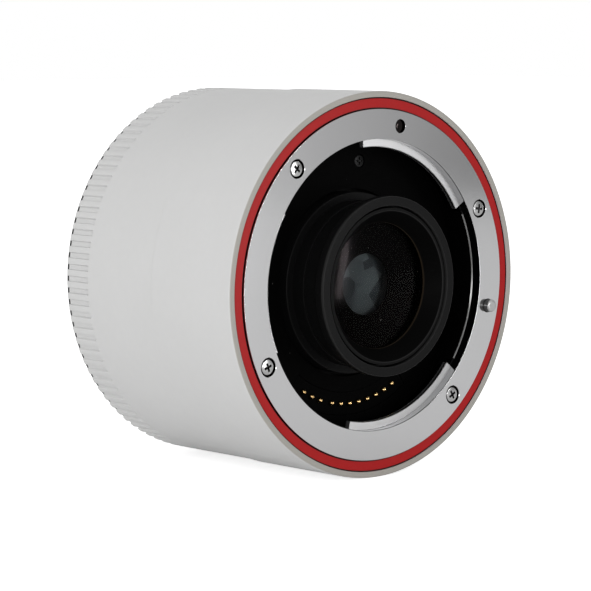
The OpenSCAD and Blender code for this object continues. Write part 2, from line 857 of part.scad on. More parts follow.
module controller_chip() {
    color("#151515") on_side() at(chip_angle, (board_in_r + board_out_r) / 2, board_back - chip_h / 2)
        cube([chip_w, chip_w, chip_h], center = true);
}

module board_screws() {
    color("gray") on_side()
        for (angle = board_screw_angles) at(angle, board_screw_r, board_back - small_head_h)
            mirror([0, 0, 1]) screw(small_head_r, small_head_h, small_shank_r, board_t + post_h);
}

module front_flex_cable() {
    color("darkorange") on_side()
        sector(front_flex_r, front_flex_r + flex_t, front_flex_angles, board_front, block_back);
}

module rear_flex_cable() {
    color("darkorange") on_side()
        sector(rear_flex_r, rear_flex_r + flex_t, rear_flex_angles, recess_floor, board_back);
}

module rear_mount_ring() {
    color("silver") on_side() difference() {
        union() {
            ring(male_in_r, rear_mount_r, 0, rear_flange_t);
            ring(male_in_r, male_r, -bayonet_len, cut);
            for (span = lug_angles)
                sector(male_r - cut, lug_r, span, lug_front - lug_t, lug_front);
        }
        for (angle = rear_screw_angles) at(angle, rear_screw_r) {
            hole(clear_hole_r, -cut, rear_flange_t + cut);
            hole(recess_r, -cut, head_h + slide_gap);
        }
        at(lock_angle, mount_hole_r) hole(lock_hole_r, -cut, rear_flange_t + cut);
    }
}

module rear_mount_screws() {
    color("gainsboro") on_side()
        for (angle = rear_screw_angles) at(angle, rear_screw_r, slide_gap)
            mirror([0, 0, 1])
                screw(head_r, head_h, shank_r, plate_front + rear_thread - head_h - slide_gap);
}

// The bottom block inside the rear bayonet, with a flat pad for each camera pin
module rear_contact_block() {
    color("#181818") on_side() difference() {
        sector(rear_block_in_r, rear_block_out_r, rear_block_angles,
            -pad_face, recess_floor);
        for (i = [0 : rear_contacts - 1])
            at(contact_angle(first_group + i), contact_r)
                hole(pad_r + seat_gap, -pad_face - cut, pad_t - pad_face - pad_out + seat_gap);
    }
}

module rear_contact_pads() {
    color("gold") on_side()
        for (i = [0 : rear_contacts - 1])
            at(contact_angle(first_group + i), contact_r)
                hole(pad_r, -pad_face - pad_out, pad_t - pad_face - pad_out);
}

// A round dot in the sloping edge of the rear trim
module rear_mark(radius) {
    slope_r = (trim_r + trim_back_r) / 2;
    middle = (rear_shell_back - seat_gap - trim_flat + trim_back) / 2;
    at(rear_mark_angle, trim_in_r + cut, middle) rotate([0, 90, 0])
        cylinder(r = radius, h = slope_r + rear_mark_out - trim_in_r - cut);
}

module rear_index_mark() {
    color("red") on_side() rear_mark(rear_mark_r);
}

module release_lever() {
    color("#2b2b2b") on_side() rotate([0, 0, lock_angle]) {
        translate([stem_in, -stem_w / 2, stem_mid - stem_len / 2])
            cube([front_r + pad_h / 2 - stem_in, stem_w, stem_len]);
        difference() {
            translate([front_r - cut, 0, pad_mid]) rotate([0, 90, 0])
                rounded_slab(pad_len, pad_w, pad_corner, pad_h + cut);
            hole(front_r + pad_gap, 0, lens_face);
            for (i = [0 : thumb_grooves - 1])
                translate([front_r + pad_h + thumb_groove_r / 2, 0,
                    pad_mid + (i - (thumb_grooves - 1) / 2) * thumb_pitch])
                    rotate([90, 0, 0]) cylinder(r = thumb_groove_r, h = 2 * pad_w, center = true);
        }
    }
}

module release_slider() {
    color("slategray") on_side() rotate([0, 0, lock_angle]) difference() {
        translate([slider_in, -slider_w / 2, slider_back])
            cube([slider_out - slider_in, slider_w, slider_len]);
        translate([stem_in - seat_gap, -stem_w / 2 - seat_gap, stem_mid - stem_len / 2 - seat_gap])
            cube([slider_out, stem_w + 2 * seat_gap, stem_len + 2 * seat_gap]);
        translate([mount_hole_r, 0, 0])
            hole(lock_shank_r + shank_fit, slider_front - pin_socket, slider_front + cut);
    }
}

module lock_pin() {
    color("silver") on_side() at(lock_angle, mount_hole_r) {
        hole(lock_shank_r, slider_front - pin_socket + seat_gap, lens_face - slide_gap);
        hole(lock_tip_r, lens_face - slide_gap, lens_face + lock_proud - tip_round);
        translate([0, 0, lens_face + lock_proud - tip_round])
            cylinder(r1 = lock_tip_r, r2 = lock_tip_r - tip_round, h = tip_round);
    }
}

// Centre line of the lock spring: a straight lead at each end and a helix between them
spring_lead = 2 * spring_wire_r;
spring_turn_len = spring_len - 2 * spring_lead - 2 * seat_gap;
spring_points = concat(
    [[spring_r, 0, 0]],
    [for (i = [0 : spring_curls * spring_steps])
        [spring_r * cos(i * 360 / spring_steps), spring_r * sin(i * 360 / spring_steps),
            spring_lead + spring_turn_len * i / (spring_curls * spring_steps)]],
    [[spring_r, 0, 2 * spring_lead + spring_turn_len]]
);
// The least gap is between one turn and the next, measured between points a turn apart
spring_self_gap = min([for (i = [0 : len(spring_points) - 1 - spring_steps])
    norm(spring_points[i + spring_steps] - spring_points[i])]) - 2 * spring_wire_r;
echo(lock_spring_least_gap_mm = spring_self_gap);

// Points round the wire at each step, square to the line through its neighbours
function wire_ring(p, i) = let (
    last = len(p) - 1,
    along = i == 0 || i == last ? [0, 0, 1] : (p[i + 1] - p[i - 1]) / norm(p[i + 1] - p[i - 1]),
    out = [p[i][0], p[i][1], 0] / spring_r,
    side = cross(along, out)
) [for (k = [0 : spring_sides - 1])
    p[i] + spring_wire_r * (out * cos(k * 360 / spring_sides) + side * sin(k * 360 / spring_sides))];

module lock_spring() {
    rings = [for (i = [0 : len(spring_points) - 1]) wire_ring(spring_points, i)];
    count = len(rings);
    points = [for (one = rings) for (p = one) p];
    walls = [for (i = [0 : count - 2], k = [0 : spring_sides - 1]) let (
        a = i * spring_sides + k,
        b = i * spring_sides + (k + 1) % spring_sides
    ) each [[a, a + spring_sides, b], [b, a + spring_sides, b + spring_sides]]];
    first_cap = [for (k = [1 : spring_sides - 2]) [0, k, k + 1]];
    end = (count - 1) * spring_sides;
    last_cap = [for (k = [1 : spring_sides - 2]) [end, end + k + 1, end + k]];
    color("silver") on_side() at(lock_angle, spring_x, spring_back + seat_gap)
        polyhedron(points, concat(walls, first_cap, last_cap));
}

front_shell();
rear_shell();
rear_trim_ring();
red_ring();
front_mount_ring();
front_mount_screws();
mount_spring_plate();
main_frame();
rear_plate();
front_baffle();
baffle_screws();
front_contact_block();
contact_board();
contact_springs();
for (i = [0 : PIN_COUNT - 1]) contact_pin(i);
front_lens_cell();
front_retaining_ring();
optical_tube();
optical_tube_screws();
for (i = [0 : LENS_COUNT - 1]) lens(i);
for (i = [0 : SPACER_COUNT - 1]) spacer(i);
rear_retaining_ring();
rear_baffle();
rear_baffle_screws();
circuit_board();
controller_chip();
board_screws();
front_flex_cable();
rear_flex_cable();
rear_mount_ring();
rear_mount_screws();
rear_contact_block();
rear_contact_pads();
rear_index_mark();
release_lever();
release_slider();
lock_pin();
lock_spring();
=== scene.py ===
import json
import math

import bmesh
import bpy
import numpy as np
from bpy.props import FloatProperty, FloatVectorProperty, IntProperty, PointerProperty
from mathutils import Matrix, Vector


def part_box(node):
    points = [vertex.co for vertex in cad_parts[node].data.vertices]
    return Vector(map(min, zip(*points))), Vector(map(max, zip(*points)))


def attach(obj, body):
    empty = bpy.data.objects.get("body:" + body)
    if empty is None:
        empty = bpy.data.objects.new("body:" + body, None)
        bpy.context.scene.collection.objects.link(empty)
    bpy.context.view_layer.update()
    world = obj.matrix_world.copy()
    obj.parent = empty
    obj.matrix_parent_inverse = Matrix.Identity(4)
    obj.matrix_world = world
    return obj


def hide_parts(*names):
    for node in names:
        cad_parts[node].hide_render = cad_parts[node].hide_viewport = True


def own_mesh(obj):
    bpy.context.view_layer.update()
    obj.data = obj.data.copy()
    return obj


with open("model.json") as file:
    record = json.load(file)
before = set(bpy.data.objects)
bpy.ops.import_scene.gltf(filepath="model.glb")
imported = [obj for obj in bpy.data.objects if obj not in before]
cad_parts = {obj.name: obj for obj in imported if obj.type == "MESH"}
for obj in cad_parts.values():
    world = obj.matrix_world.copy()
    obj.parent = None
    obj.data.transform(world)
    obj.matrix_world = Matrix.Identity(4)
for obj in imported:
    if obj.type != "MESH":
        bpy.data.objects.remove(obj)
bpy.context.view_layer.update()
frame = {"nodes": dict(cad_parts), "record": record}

bl_info = {
    "name": "Teleconverter looks",
    "version": (1, 0, 0),
    "blender": (4, 5, 0),
    "location": "View3D > Sidebar > Converter",
    "description": "Dresses a packed teleconverter with modelled surfaces, finishes and a studio",
    "category": "Object",
}

MM = 0.001
FINISH = "_finish"
BARREL = "barrel"
RELEASE = "release"

# Gaps: under a seated piece, beside a trim ring, and the dark one on each side of the red ring
SEAT_GAP = 0.05 * MM
TRIM_GAP = 0.1 * MM
RED_GAP = 0.13 * MM


def span(node):
    """Where a node begins and ends along the barrel, measured forward of the camera-side face."""
    low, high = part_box(node)
    return -high.y, -low.y


def reach(node):
    """Largest radius of a node that is round about the barrel's axis."""
    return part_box(node)[1].z


# Places read from the frame: radii about the axis, and heights forward of the camera-side face
LENS_FACE = span("front_mount_ring")[1]
RING_BACK, RED_FRONT = span("red_ring")
SEAM, LIP_FRONT = span("front_shell")
GRIP_BACK, SEAM_BACK = span("rear_shell")
TRIM_BACK, TRIM_FRONT = span("rear_trim_ring")
BAYONET_END, FLANGE_FRONT = span("rear_mount_ring")
CELL_FRONT = span("front_lens_cell")[1]
GLASS_BACK, GLASS_FRONT = span("lens_1")
FRONT_R = reach("front_shell")
REAR_R = reach("rear_shell")
FRAME_R = reach("main_frame")
MOUNT_R = reach("front_mount_ring")
RED_R = reach("red_ring")
LIP_IN = RED_R + TRIM_GAP
TRIM_R = reach("rear_trim_ring")
REAR_MOUNT_R = reach("rear_mount_ring")
COLLAR_R = reach("front_lens_cell")
GLASS_R = reach("lens_1")
PIN_NODES = sorted(name for name in frame["nodes"] if name.startswith("contact_pin_"))
LENS_NODES = sorted(name for name in frame["nodes"] if name.startswith("lens_"))

# Angles round the axis in degrees, seen from the lens end, anticlockwise from the right
INDEX_ANGLE = 90
LOCK_ANGLE = 0
MOUNT_SCREW_ANGLES = (37, 143, 217, 323)
REAR_SCREW_ANGLES = (45, 135, 225, 315)
FLOOR_SCREW_ANGLES = (94.6, 205, 335)
TAB_ANGLES = ((42, 106), (158, 216), (269, 332))
LUG_ANGLES = ((50, 98), (163, 211), (271, 330))

# How far each screw's cross is turned, in degrees
MOUNT_CROSS_TURNS = (4, 62, 31, 40)
REAR_CROSS_TURNS = (12, 47, 80, 25)
FLOOR_CROSS_TURNS = (10, 55, 33)

# The barrel lies rolled about its own axis on the floor, so the studio is turned by as much
STUDIO_ROLL = Matrix.Rotation(math.radians(-11.14), 4, "Y")

# Studio: places and sizes in metres before its turn, and shares of the grey card's width and height
KEY_PLACE = (-0.56, -0.5, 0.05)
KEY_SIZE = (0.7, 0.16)
CARD_PLACE = (0.554, -0.626, 0.0)
CARD_SIZE = (0.95, 0.9)
CARD_FADE = (0.44, 0.56)
PATCH_PLACE = (0.547, 0.468, 0.0)
PATCH_REACH = (0.01, 0.05)
PATCH_TONE = 0.72
STRIP_PLACE = (0.106, -0.261, 0.013)
STRIP_SIZE = (0.013, 0.098)
STRIP_LEAN = 0.018
SHEET_CORNERS = ((-1, -1), (1, -1), (1, 1), (-1, 1))
FLOOR_HALF = 3.0
FLOOR_TONE = (0.92, 0.92, 0.92, 1.0)
FILL_FADE = 0.2
FILL_ABOVE = 0.56
CAMERA_PLACE = (-0.33743, -0.4035, 0.04719)
CAMERA_AHEAD = (0.66439, 0.74067, -0.09994)
SENSOR_MM = 36.0
NEAREST = 0.01

# Finishes: dust colour, size of the wear against the mottle, depth of the relief, sockets of a Mix node
DUST = (0.05, 0.05, 0.048)
WEAR_SHARE = 0.35
RELIEF = 0.02 * MM
MIX_SHARE, MIX_UNDER, MIX_OVER = 0, 6, 7
MIX_COLOUR = 2

# Half length, half width and depth of a screw's cross, and how far a tab or lug runs into its ring
CROSS = (0.85 * MM, 0.22 * MM, 0.6 * MM)
SMALL_CROSS = (0.7 * MM, 0.18 * MM, 0.4 * MM)
ROOT_OVERLAP = 0.1 * MM

# How finely the surfaces are drawn
TURNS = 720
CELL_TURNS = 360
GLASS_TURNS = 256
GLASS_RINGS = 48
PIN_TURNS = 96
PAD_CORNER_ROWS = 14
PAD_ROWS = 150
PAD_COLUMNS = 61
SECTOR_STEPS = 64
FACE_ROWS = 10
PATCH_STEPS = 9
BLEND_IN = (0, 0.3, 0.6)
BLEND_OUT = (0.4, 0.7, 1)
CORNER_STEPS = 4
FEW_STEPS = 2
TIP_STEPS = 6
WALL_STEPS = 7
WALL_OVER = 0.1
SCREW_SIDES = 96
SCREW_RINGS = 36
COIL_STEPS = 24
WIRE_SIDES = 10
MERGE = 1e-7
SHARP = math.radians(35)


def length(name, description, default):
    """A property that holds a length in metres."""
    return FloatProperty(name=name, description=description, default=default, min=0.0,
                         precision=5, unit="LENGTH", subtype="DISTANCE")


def colour(name, description, default):
    """A property that holds a colour."""
    return FloatVectorProperty(name=name, description=description, default=default, size=3,
                               min=0.0, max=1.0, subtype="COLOR")


def brightness(name, description, default):
    """A property that holds a brightness."""
    return FloatProperty(name=name, description=description, default=default, min=0.0)


class BarrelSizes(bpy.types.PropertyGroup):
    """Sizes of the white barrel and the rings at its ends."""
    inside: length("Inside", "Inner radius of both shells", FRAME_R + 0.2 * MM)
    lip_round: length("Lip round", "Rounding of the front lip", 0.42 * MM)
    seam_round: length("Seam round", "Rounding of the edges at the barrel's seam", 0.12 * MM)
    flange_radius: length("Flange radius", "Inner radius of the flange under the mount", 31.25 * MM)
    flange: length("Flange", "Thickness of the flange under the mount", 1.3 * MM)
    rib_count: IntProperty(name="Ribs", description="Ribs round the grip", default=100, min=8)
    rib_length: length("Rib length", "Length of a groove of the grip", 6.5 * MM)
    groove_depth: length("Groove depth", "Depth of a groove of the grip", 0.45 * MM)
    groove: length("Groove", "Width of a groove of the grip", 1.2 * MM)
    groove_wall: length("Groove wall", "Width of a groove's sloping wall", 0.2 * MM)
    trim_flat: length("Trim flat", "Width of the flat of the rear ring", 0.4 * MM)
    trim_slope: length("Trim slope", "Step in radius down the slope of the rear ring", 1.4 * MM)


class MountSizes(bpy.types.PropertyGroup):
    """Sizes of the two bayonet mounts and their screws."""
    throat: length("Throat", "Radius of the throat of the lens mount", 27 * MM)
    tab_radius: length("Tab radius", "Inner radius of the bayonet tabs", 25.5 * MM)
    tab_depth: length("Tab depth", "Depth of the tabs behind the lens face", 1.6 * MM)
    tab: length("Tab", "Thickness of a tab", 1 * MM)
    edge: length("Edge", "Rounding of the edges of the mounts", 0.08 * MM)
    bevel: length("Bevel", "Bevel at the mouth of a hole", 0.07 * MM)
    hole_circle: length("Hole circle", "Radius of the circle of screws in the lens mount", 29.75 * MM)
    rear_circle: length("Rear circle", "Radius of the circle of screws in the camera mount", 29.4 * MM)
    recess: length("Recess", "Radius of the recess round a screw head", 1.75 * MM)
    head: length("Head", "Radius of a screw head", 1.45 * MM)
    head_height: length("Head height", "Height of a screw head", 0.95 * MM)
    shank: length("Shank", "Radius of a screw's shank", 1 * MM)
    small_head: length("Small head", "Radius of a small screw's head", 1.2 * MM)
    small_height: length("Small height", "Height of a small screw's head", 0.7 * MM)
    small_shank: length("Small shank", "Radius of a small screw's shank", 0.7 * MM)
    floor_circle: length("Floor circle", "Radius of the circle of screws in the throat floor", 22.72 * MM)
    index: length("Index", "Radius of the index hole", 1.3 * MM)
    index_depth: length("Index depth", "Depth of the index hole above its cone", 0.9 * MM)
    lock_bore: length("Lock bore", "Radius of the bore of the lock pin", 1.28 * MM)
    lock_tip: length("Lock tip", "Radius of the tip of the lock pin", 1.2 * MM)
    lock_shank: length("Lock shank", "Radius of the shank of the lock pin", 1 * MM)
    lock_hole: length("Lock hole", "Radius of the lock hole in the camera mount", 1.45 * MM)
    male: length("Male radius", "Outer radius of the camera bayonet", 25.3 * MM)
    male_inner: length("Male inner radius", "Inner radius of the camera bayonet", 24.1 * MM)
    lug_radius: length("Lug radius", "Outer radius of the bayonet lugs", 26.6 * MM)
    lug_depth: length("Lug depth", "Distance of the lugs from the camera face", 2.65 * MM)
    lug: length("Lug", "Thickness of a lug", 1.3 * MM)


class OpticsSizes(bpy.types.PropertyGroup):
    """Sizes of the lens cell and the glass."""
    rim: length("Rim", "Outer radius of the front rim", 16.6 * MM)
    rim_length: length("Rim length", "Length of the front rim", 2.1 * MM)
    neck: length("Neck", "Radius of the neck behind the rim", 15.2 * MM)
    body: length("Body", "Radius of the body of the cell", 15.5 * MM)
    ring_bore: length("Ring bore", "Bore for the retaining ring", 14.9 * MM)
    ring_depth: length("Ring depth", "Depth of the retaining ring behind the rim", 0.25 * MM)
    ring_band: length("Ring band", "Outer radius of the flat band of the ring", 14.45 * MM)
    ring_lip: length("Ring lip", "Radius where the cone of the ring begins", 13.95 * MM)
    ring_inner: length("Ring inner", "Inner radius of the retaining ring", 11.7 * MM)
    front_curve: length("Front curve", "Radius of curvature of the front of the first element", 70 * MM)
    back_curve: length("Back curve", "Radius of curvature of its back", 90 * MM)


class LeverSizes(bpy.types.PropertyGroup):
    """Sizes of the release lever."""
    corner: length("Corner", "Radius of the pad's corners", 2 * MM)
    edge: length("Edge", "Rounding of the pad's upper edge", 0.5 * MM)
    gap: length("Gap", "Gap between the pad and the barrel", 0.15 * MM)
    stem_width: length("Stem width", "Width of the stem", 2.9 * MM)
    stem_length: length("Stem length", "Length of the stem along the barrel", 3.9 * MM)
    stem_behind: length("Stem behind", "Distance of the stem behind the middle of the pad", 1 * MM)
    travel: length("Travel", "Travel of the lever", 2 * MM)
    play: length("Play", "Gap round the stem in its window", 0.2 * MM)
    grooves: IntProperty(name="Grooves", description="Thumb grooves across the pad", default=5, min=0)
    pitch: length("Pitch", "Distance from one thumb groove to the next", 1.8 * MM)
    groove_ball: length("Groove radius", "Radius of the cutter of a thumb groove", 0.6 * MM)


class SpringSizes(bpy.types.PropertyGroup):
    """Sizes of the coil springs."""
    lock_coil: length("Lock coil", "Radius of the lock spring to the middle of its wire", 1.5 * MM)
    lock_wire: length("Lock wire", "Radius of the lock spring's wire", 0.22 * MM)
    lock_curls: IntProperty(name="Lock curls", description="Curls of the lock spring", default=6, min=1)
    pin_coil: length("Pin coil", "Radius of a contact spring to the middle of its wire", 0.59 * MM)
    pin_wire: length("Pin wire", "Radius of a contact spring's wire", 0.1 * MM)
    pin_curls: IntProperty(name="Pin curls", description="Curls of a contact spring", default=3, min=1)


class FinishColours(bpy.types.PropertyGroup):
    """Colours of the finishes."""
    shell: colour("Shell", "Pale paint of the barrel", (0.62, 0.62, 0.617))
    lip: colour("Lip", "Worn warm grey of the front lip", (0.36, 0.345, 0.315))
    # Painted shade: inside the lip, along the red ring's edges and on the walls of the mounts' holes
    gap: colour("Gap", "Dark lines beside the red ring and in the holes of the mounts", (0.012, 0.01, 0.01))
    red: colour("Red", "Paint of the ring round the mount", (0.385, 0.01, 0.011))
    chrome: colour("Chrome", "Plated brass of the mounts", (0.51, 0.51, 0.515))
    screw: colour("Screw", "Steel of the screws", (0.38, 0.38, 0.38))
    steel: colour("Steel", "Springs", (0.55, 0.55, 0.54))
    glass: colour("Glass", "What the front element lets through", (0.29, 0.305, 0.305))
    coating: colour("Coating", "Tint of the front element's reflection", (0.6, 0.5, 0.52))
    depth: colour("Depth", "What the inner elements reflect together", (0.33, 0.36, 0.38))
    # Painted light: on the black rings this lighter colour paints highlights along their edges; on the screws
    # it paints shade below the head tops and in the crosses
    edge: colour("Edge", "Worn edges of the black rings", (0.022, 0.022, 0.022))
    # Painted shade: a darker colour on the throat's edge, along the tabs' inner edges and on the side of the
    # lock pin
    worn: colour("Worn", "Dulled edge of the lens mount and side of the lock pin", (0.1, 0.1, 0.1))
    land: colour("Land", "Flat of the retaining ring", (0.008, 0.008, 0.008))
    # Painted highlight: a thin brownish line on the inner edge of the ring over the glass
    painted_glint: colour("Bronze", "Worn edge of the ring over the glass", (0.02, 0.015, 0.01))
    trim: colour("Trim", "Black ring behind the grip", (0.012, 0.012, 0.013))
    baffle: colour("Baffle", "Matt black inside the throat", (0.0009, 0.0009, 0.0009))
    cell: colour("Cell", "Satin black of the lens cell", (0.0042, 0.0042, 0.0043))
    lever: colour("Lever", "Black of the release lever", (0.016, 0.016, 0.017))
    gold: colour("Gold", "Plating of the contacts", (0.7, 0.47, 0.21))
    alloy: colour("Alloy", "Cast frame inside the barrel", (0.2, 0.2, 0.21))
    board: colour("Board", "Circuit board", (0.01, 0.09, 0.03))
    cable: colour("Cable", "Flexible cable", (0.5, 0.2, 0.03))


class StudioSettings(bpy.types.PropertyGroup):
    """Light and floor of the studio."""
    fill: brightness("Fill", "Even light from all round", 0.88)
    key: FloatProperty(name="Key", description="Power of the broad light on the left", default=2.15,
                       min=0.0, unit="POWER")
    card_left: brightness("Card left", "Brightness of the grey card's left", 0.71)
    card_right: brightness("Card right", "Brightness of its right", 0.45)
    strip: brightness("Strip", "Brightness of the window before the glass", 34.0)
    floor_glow: brightness("Floor glow", "Lift of the floor towards white in the picture", 0.72)
    floor_shine: brightness("Floor shine", "Lift of the floor towards white in gloss and glass", 0.3)
    lens_mm: FloatProperty(name="Lens", description="Focal length of the camera", default=162.1, min=1.0)


def polar(radius, angle, ahead, centre=(0.0, 0.0)):
    """Points at a radius, an angle and a height ahead of the camera face, about an axis along the barrel."""
    radius, angle, ahead = np.broadcast_arrays(radius, angle, ahead)
    return np.stack([centre[0] + radius * np.cos(angle), -ahead, centre[1] + radius * np.sin(angle)], axis=-1)


def red_radii():
    """Inner and outer radius of the red ring, with its gap on each side."""
    return MOUNT_R + RED_GAP, LIP_IN - RED_GAP


def on_circle(radius, angle):
    """Centre, across and up, of a small axis at a radius and an angle in degrees round the barrel."""
    turn = math.radians(angle)
    return radius * math.cos(turn), radius * math.sin(turn)


def full_turn(steps):
    """Angles of a full turn, the last step left open."""
    return np.arange(steps) * (2 * math.pi / steps)


def soften(outline, radius, steps=CORNER_STEPS):
    """Rounds the corners of a closed outline.

    Each corner becomes a quadratic curve that leaves its sides at the radius, or at four tenths of a short
    side, with one more point just outside it on each side, so that the flats stay flat.
    """
    short_share, guard = 0.4, 1.15
    outline = np.asarray(outline, float)
    radius = np.broadcast_to(np.asarray(radius, float), len(outline))[:, None]
    to_last = np.roll(outline, 1, axis=0) - outline
    to_next = np.roll(outline, -1, axis=0) - outline
    last_length = np.linalg.norm(to_last, axis=1, keepdims=True)
    next_length = np.linalg.norm(to_next, axis=1, keepdims=True)
    leave = to_last / last_length * np.minimum(radius, short_share * last_length)
    join = to_next / next_length * np.minimum(radius, short_share * next_length)
    share = np.linspace(0, 1, steps + 1)[None, :, None]
    curve = outline[:, None] + leave[:, None] * (1 - share) ** 2 + join[:, None] * share ** 2
    before = (outline + guard * leave)[:, None]
    after = (outline + guard * join)[:, None]
    return np.concatenate([before, curve, after], axis=1).reshape(-1, 2)


def ramp(value):
    """Smooth step from 0 to 1."""
    value = np.clip(value, 0, 1)
    return value * value * (3 - 2 * value)


class Shape:
    """Grids of points that are gathered into one mesh."""

    def __init__(self):
        self.points = []
        self.faces = []
        self.count = 0

    def grid(self, points, wrap_rows=False, wrap_columns=False, keep=None):
        """Joins a grid of points by four-sided faces; a wrapped side closes on itself."""
        rows, columns = points.shape[:2]
        i, j = np.meshgrid(np.arange(rows - (not wrap_rows)), np.arange(columns - (not wrap_columns)),
                           indexing="ij")
        down = (i + 1) % rows
        right = (j + 1) % columns
        faces = np.stack([i * columns + j, i * columns + right, down * columns + right, down * columns + j],
                         axis=-1)
        if keep is not None:
            faces = faces[keep]
        self.faces.append(faces.reshape(-1, 4) + self.count)
        self.points.append(points.reshape(-1, 3))
        self.count += rows * columns

    def turn(self, outline, steps=TURNS, centre=(0.0, 0.0), closed=True):
        """Turns an outline of (radius, height) about an axis along the barrel."""
        outline = np.asarray(outline, float)
        points = polar(outline[:, 0, None], full_turn(steps)[None], outline[:, 1, None], centre)
        self.grid(points, wrap_rows=closed, wrap_columns=True)

    def sector(self, outline, angles):
        """Carries a closed outline of (radius, height) between two angles and caps both ends."""
        turn = np.radians(np.linspace(angles[0], angles[1], SECTOR_STEPS + 1))
        walls = polar(outline[:, 0, None], turn[None], outline[:, 1, None])
        self.grid(walls, wrap_rows=True)
        self.cap(walls[:, 0])
        self.cap(walls[:, -1])

    def cap(self, loop):
        """Closes a loop of points with a fan about its middle."""
        middle = np.broadcast_to(loop.mean(axis=0), loop.shape)
        self.grid(np.stack([loop, middle]), wrap_columns=True)

    def piece(self, name, material, body, node, slot):
        """Makes the mesh, joins its seams, turns its faces outwards and puts it in its node's place."""
        mesh = bpy.data.meshes.new(name)
        mesh.from_pydata(np.concatenate(self.points), [], np.concatenate(self.faces))
        work = bmesh.new()
        work.from_mesh(mesh)
        bmesh.ops.remove_doubles(work, verts=work.verts, dist=MERGE)
        bmesh.ops.dissolve_degenerate(work, edges=work.edges, dist=MERGE)
        bmesh.ops.recalc_face_normals(work, faces=work.faces)
        work.to_mesh(mesh)
        work.free()
        mesh.shade_smooth()
        mesh.set_sharp_from_angle(angle=SHARP)
        mesh.materials.append(material)
        made = bpy.data.objects.new(name, mesh)
        bpy.context.scene.collection.objects.link(made)
        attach(made, body)
        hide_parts(node)
        return made


def split(outline, start):
    """Cuts the side of an outline that follows point `start` into FACE_ROWS equal steps."""
    share = np.linspace(0, 1, FACE_ROWS + 1)[1:-1, None]
    between = outline[start] + share * (outline[start + 1] - outline[start])
    return np.insert(outline, start + 1, between, axis=0)


def drilled_ring(shape, corners, edge, holes):
    """A ring turned from a closed outline of (radius, height), with round holes in its second flat.

    That flat and the back of the ring, which ends at the first corner, are cut into rows. Round each hole a
    patch of the flat gives way to rings of points that blend from the border of the patch to the hole's
    mouth, and then follow the hole's own list of (radius, depth). A hole that goes through ends in a like
    patch of the back.
    """
    outline = soften(corners, edge, FEW_STEPS)
    per_corner = len(outline) // len(corners)
    face = 2 * per_corner - 1
    outline = split(outline, face)
    back = len(outline) - 1
    outline = split(np.concatenate([outline, outline[:1]]), back)[:-1]
    outline = np.roll(outline, FACE_ROWS, axis=0)
    face += FACE_ROWS
    turn = full_turn(TURNS)
    points = polar(outline[:, 0, None], turn[None], outline[:, 1, None])
    keep = np.ones((len(outline), TURNS), bool)
    ahead = outline[face, 1]
    inward = np.sign(ahead - outline[0, 1])

    def border(rows, columns):
        keep[np.ix_(np.sort(rows)[:-1], columns[:-1])] = False
        return np.concatenate([points[rows[-1], columns[:-1]], points[rows[:0:-1], columns[-1]],
                               points[rows[0], columns[:0:-1]], points[rows[:-1], columns[0]]])

    face_rows = face + np.arange(FACE_ROWS + 1)
    back_rows = np.arange(FACE_ROWS, -1, -1)
    for radius, angle, profile, through in holes:
        columns = (np.arange(-PATCH_STEPS, PATCH_STEPS + 1) + round(angle * TURNS / 360)) % TURNS
        edge_loop = border(face_rows, columns)
        across, up = on_circle(radius, angle)
        bearing = np.arctan2(edge_loop[:, 2] - up, edge_loop[:, 0] - across)
        rings = [polar(r, bearing, ahead - inward * depth, (across, up)) for r, depth in profile]
        rows = [edge_loop + share * (rings[0] - edge_loop) for share in BLEND_IN] + rings
        if through:
            far = border(back_rows, columns)
            rows += [rings[-1] + share * (far - rings[-1]) for share in BLEND_OUT]
        shape.grid(np.stack(rows), wrap_columns=True)
    shape.grid(points, wrap_rows=True, wrap_columns=True, keep=keep)


def box(shape, low, high):
    """A plain box: its four sides as one wrapped strip, and its two ends."""
    x, y, z = np.stack([low, high], axis=1)
    loop = np.array([(0, 0), (1, 0), (1, 1), (0, 1)])
    sides = np.stack([np.stack([np.full(4, end), y[loop[:, 0]], z[loop[:, 1]]], axis=1) for end in x])
    shape.grid(sides, wrap_columns=True)
    for side in sides:
        shape.grid(side[[0, 1, 3, 2]].reshape(2, 2, 3))


def screw(shape, centre, top, radius, height, shank, bottom, turn, cross, facing=1):
    """A pan head with a cross recess, its side, its underside and a plain shank.

    The top is a height over (radius, angle): a low dome, less the depth of two crossed slots whose floor
    rises towards their ends. facing is 1 for a head that looks out of the lens end and -1
    for one at the camera end.
    """
    half_length, half_width, deep = cross
    edge_share, dome_share, wall_share, floor_rise = 0.12, 0.08, 0.16, 0.5
    edge = edge_share * radius
    dome = dome_share * radius
    angle = full_turn(SCREW_SIDES)
    ring = np.linspace(0, radius - edge, SCREW_RINGS)[:, None]
    along = ring * np.cos(angle - math.radians(turn))
    aside = ring * np.sin(angle - math.radians(turn))
    wall = wall_share * half_width

    def slot(p, q):
        return ramp((half_width - np.abs(p)) / wall) * ramp((half_length - np.abs(q)) / wall)

    far = np.clip(np.maximum(np.abs(along), np.abs(aside)) / half_length, 0, 1)
    sunk = deep * np.maximum(slot(along, aside), slot(aside, along)) * (1 - floor_rise * far)
    drop = dome * (ring / radius) ** 2 + sunk
    quarter = np.linspace(0, math.pi / 2, CORNER_STEPS + 1)[1:, None]
    round_r = radius - edge + edge * np.sin(quarter)
    round_drop = dome + edge * (1 - np.cos(quarter))
    below = np.array([[radius, height], [shank, height], [shank, facing * (top - bottom)],
                      [0, facing * (top - bottom)]])
    rim = np.concatenate([np.hstack([round_r, round_drop]), below])
    radii = np.concatenate([ring, rim[:, :1]])
    drops = np.concatenate([drop, np.repeat(rim[:, 1:], SCREW_SIDES, axis=1)])
    shape.grid(polar(radii, angle[None], top - facing * drops, centre), wrap_columns=True)


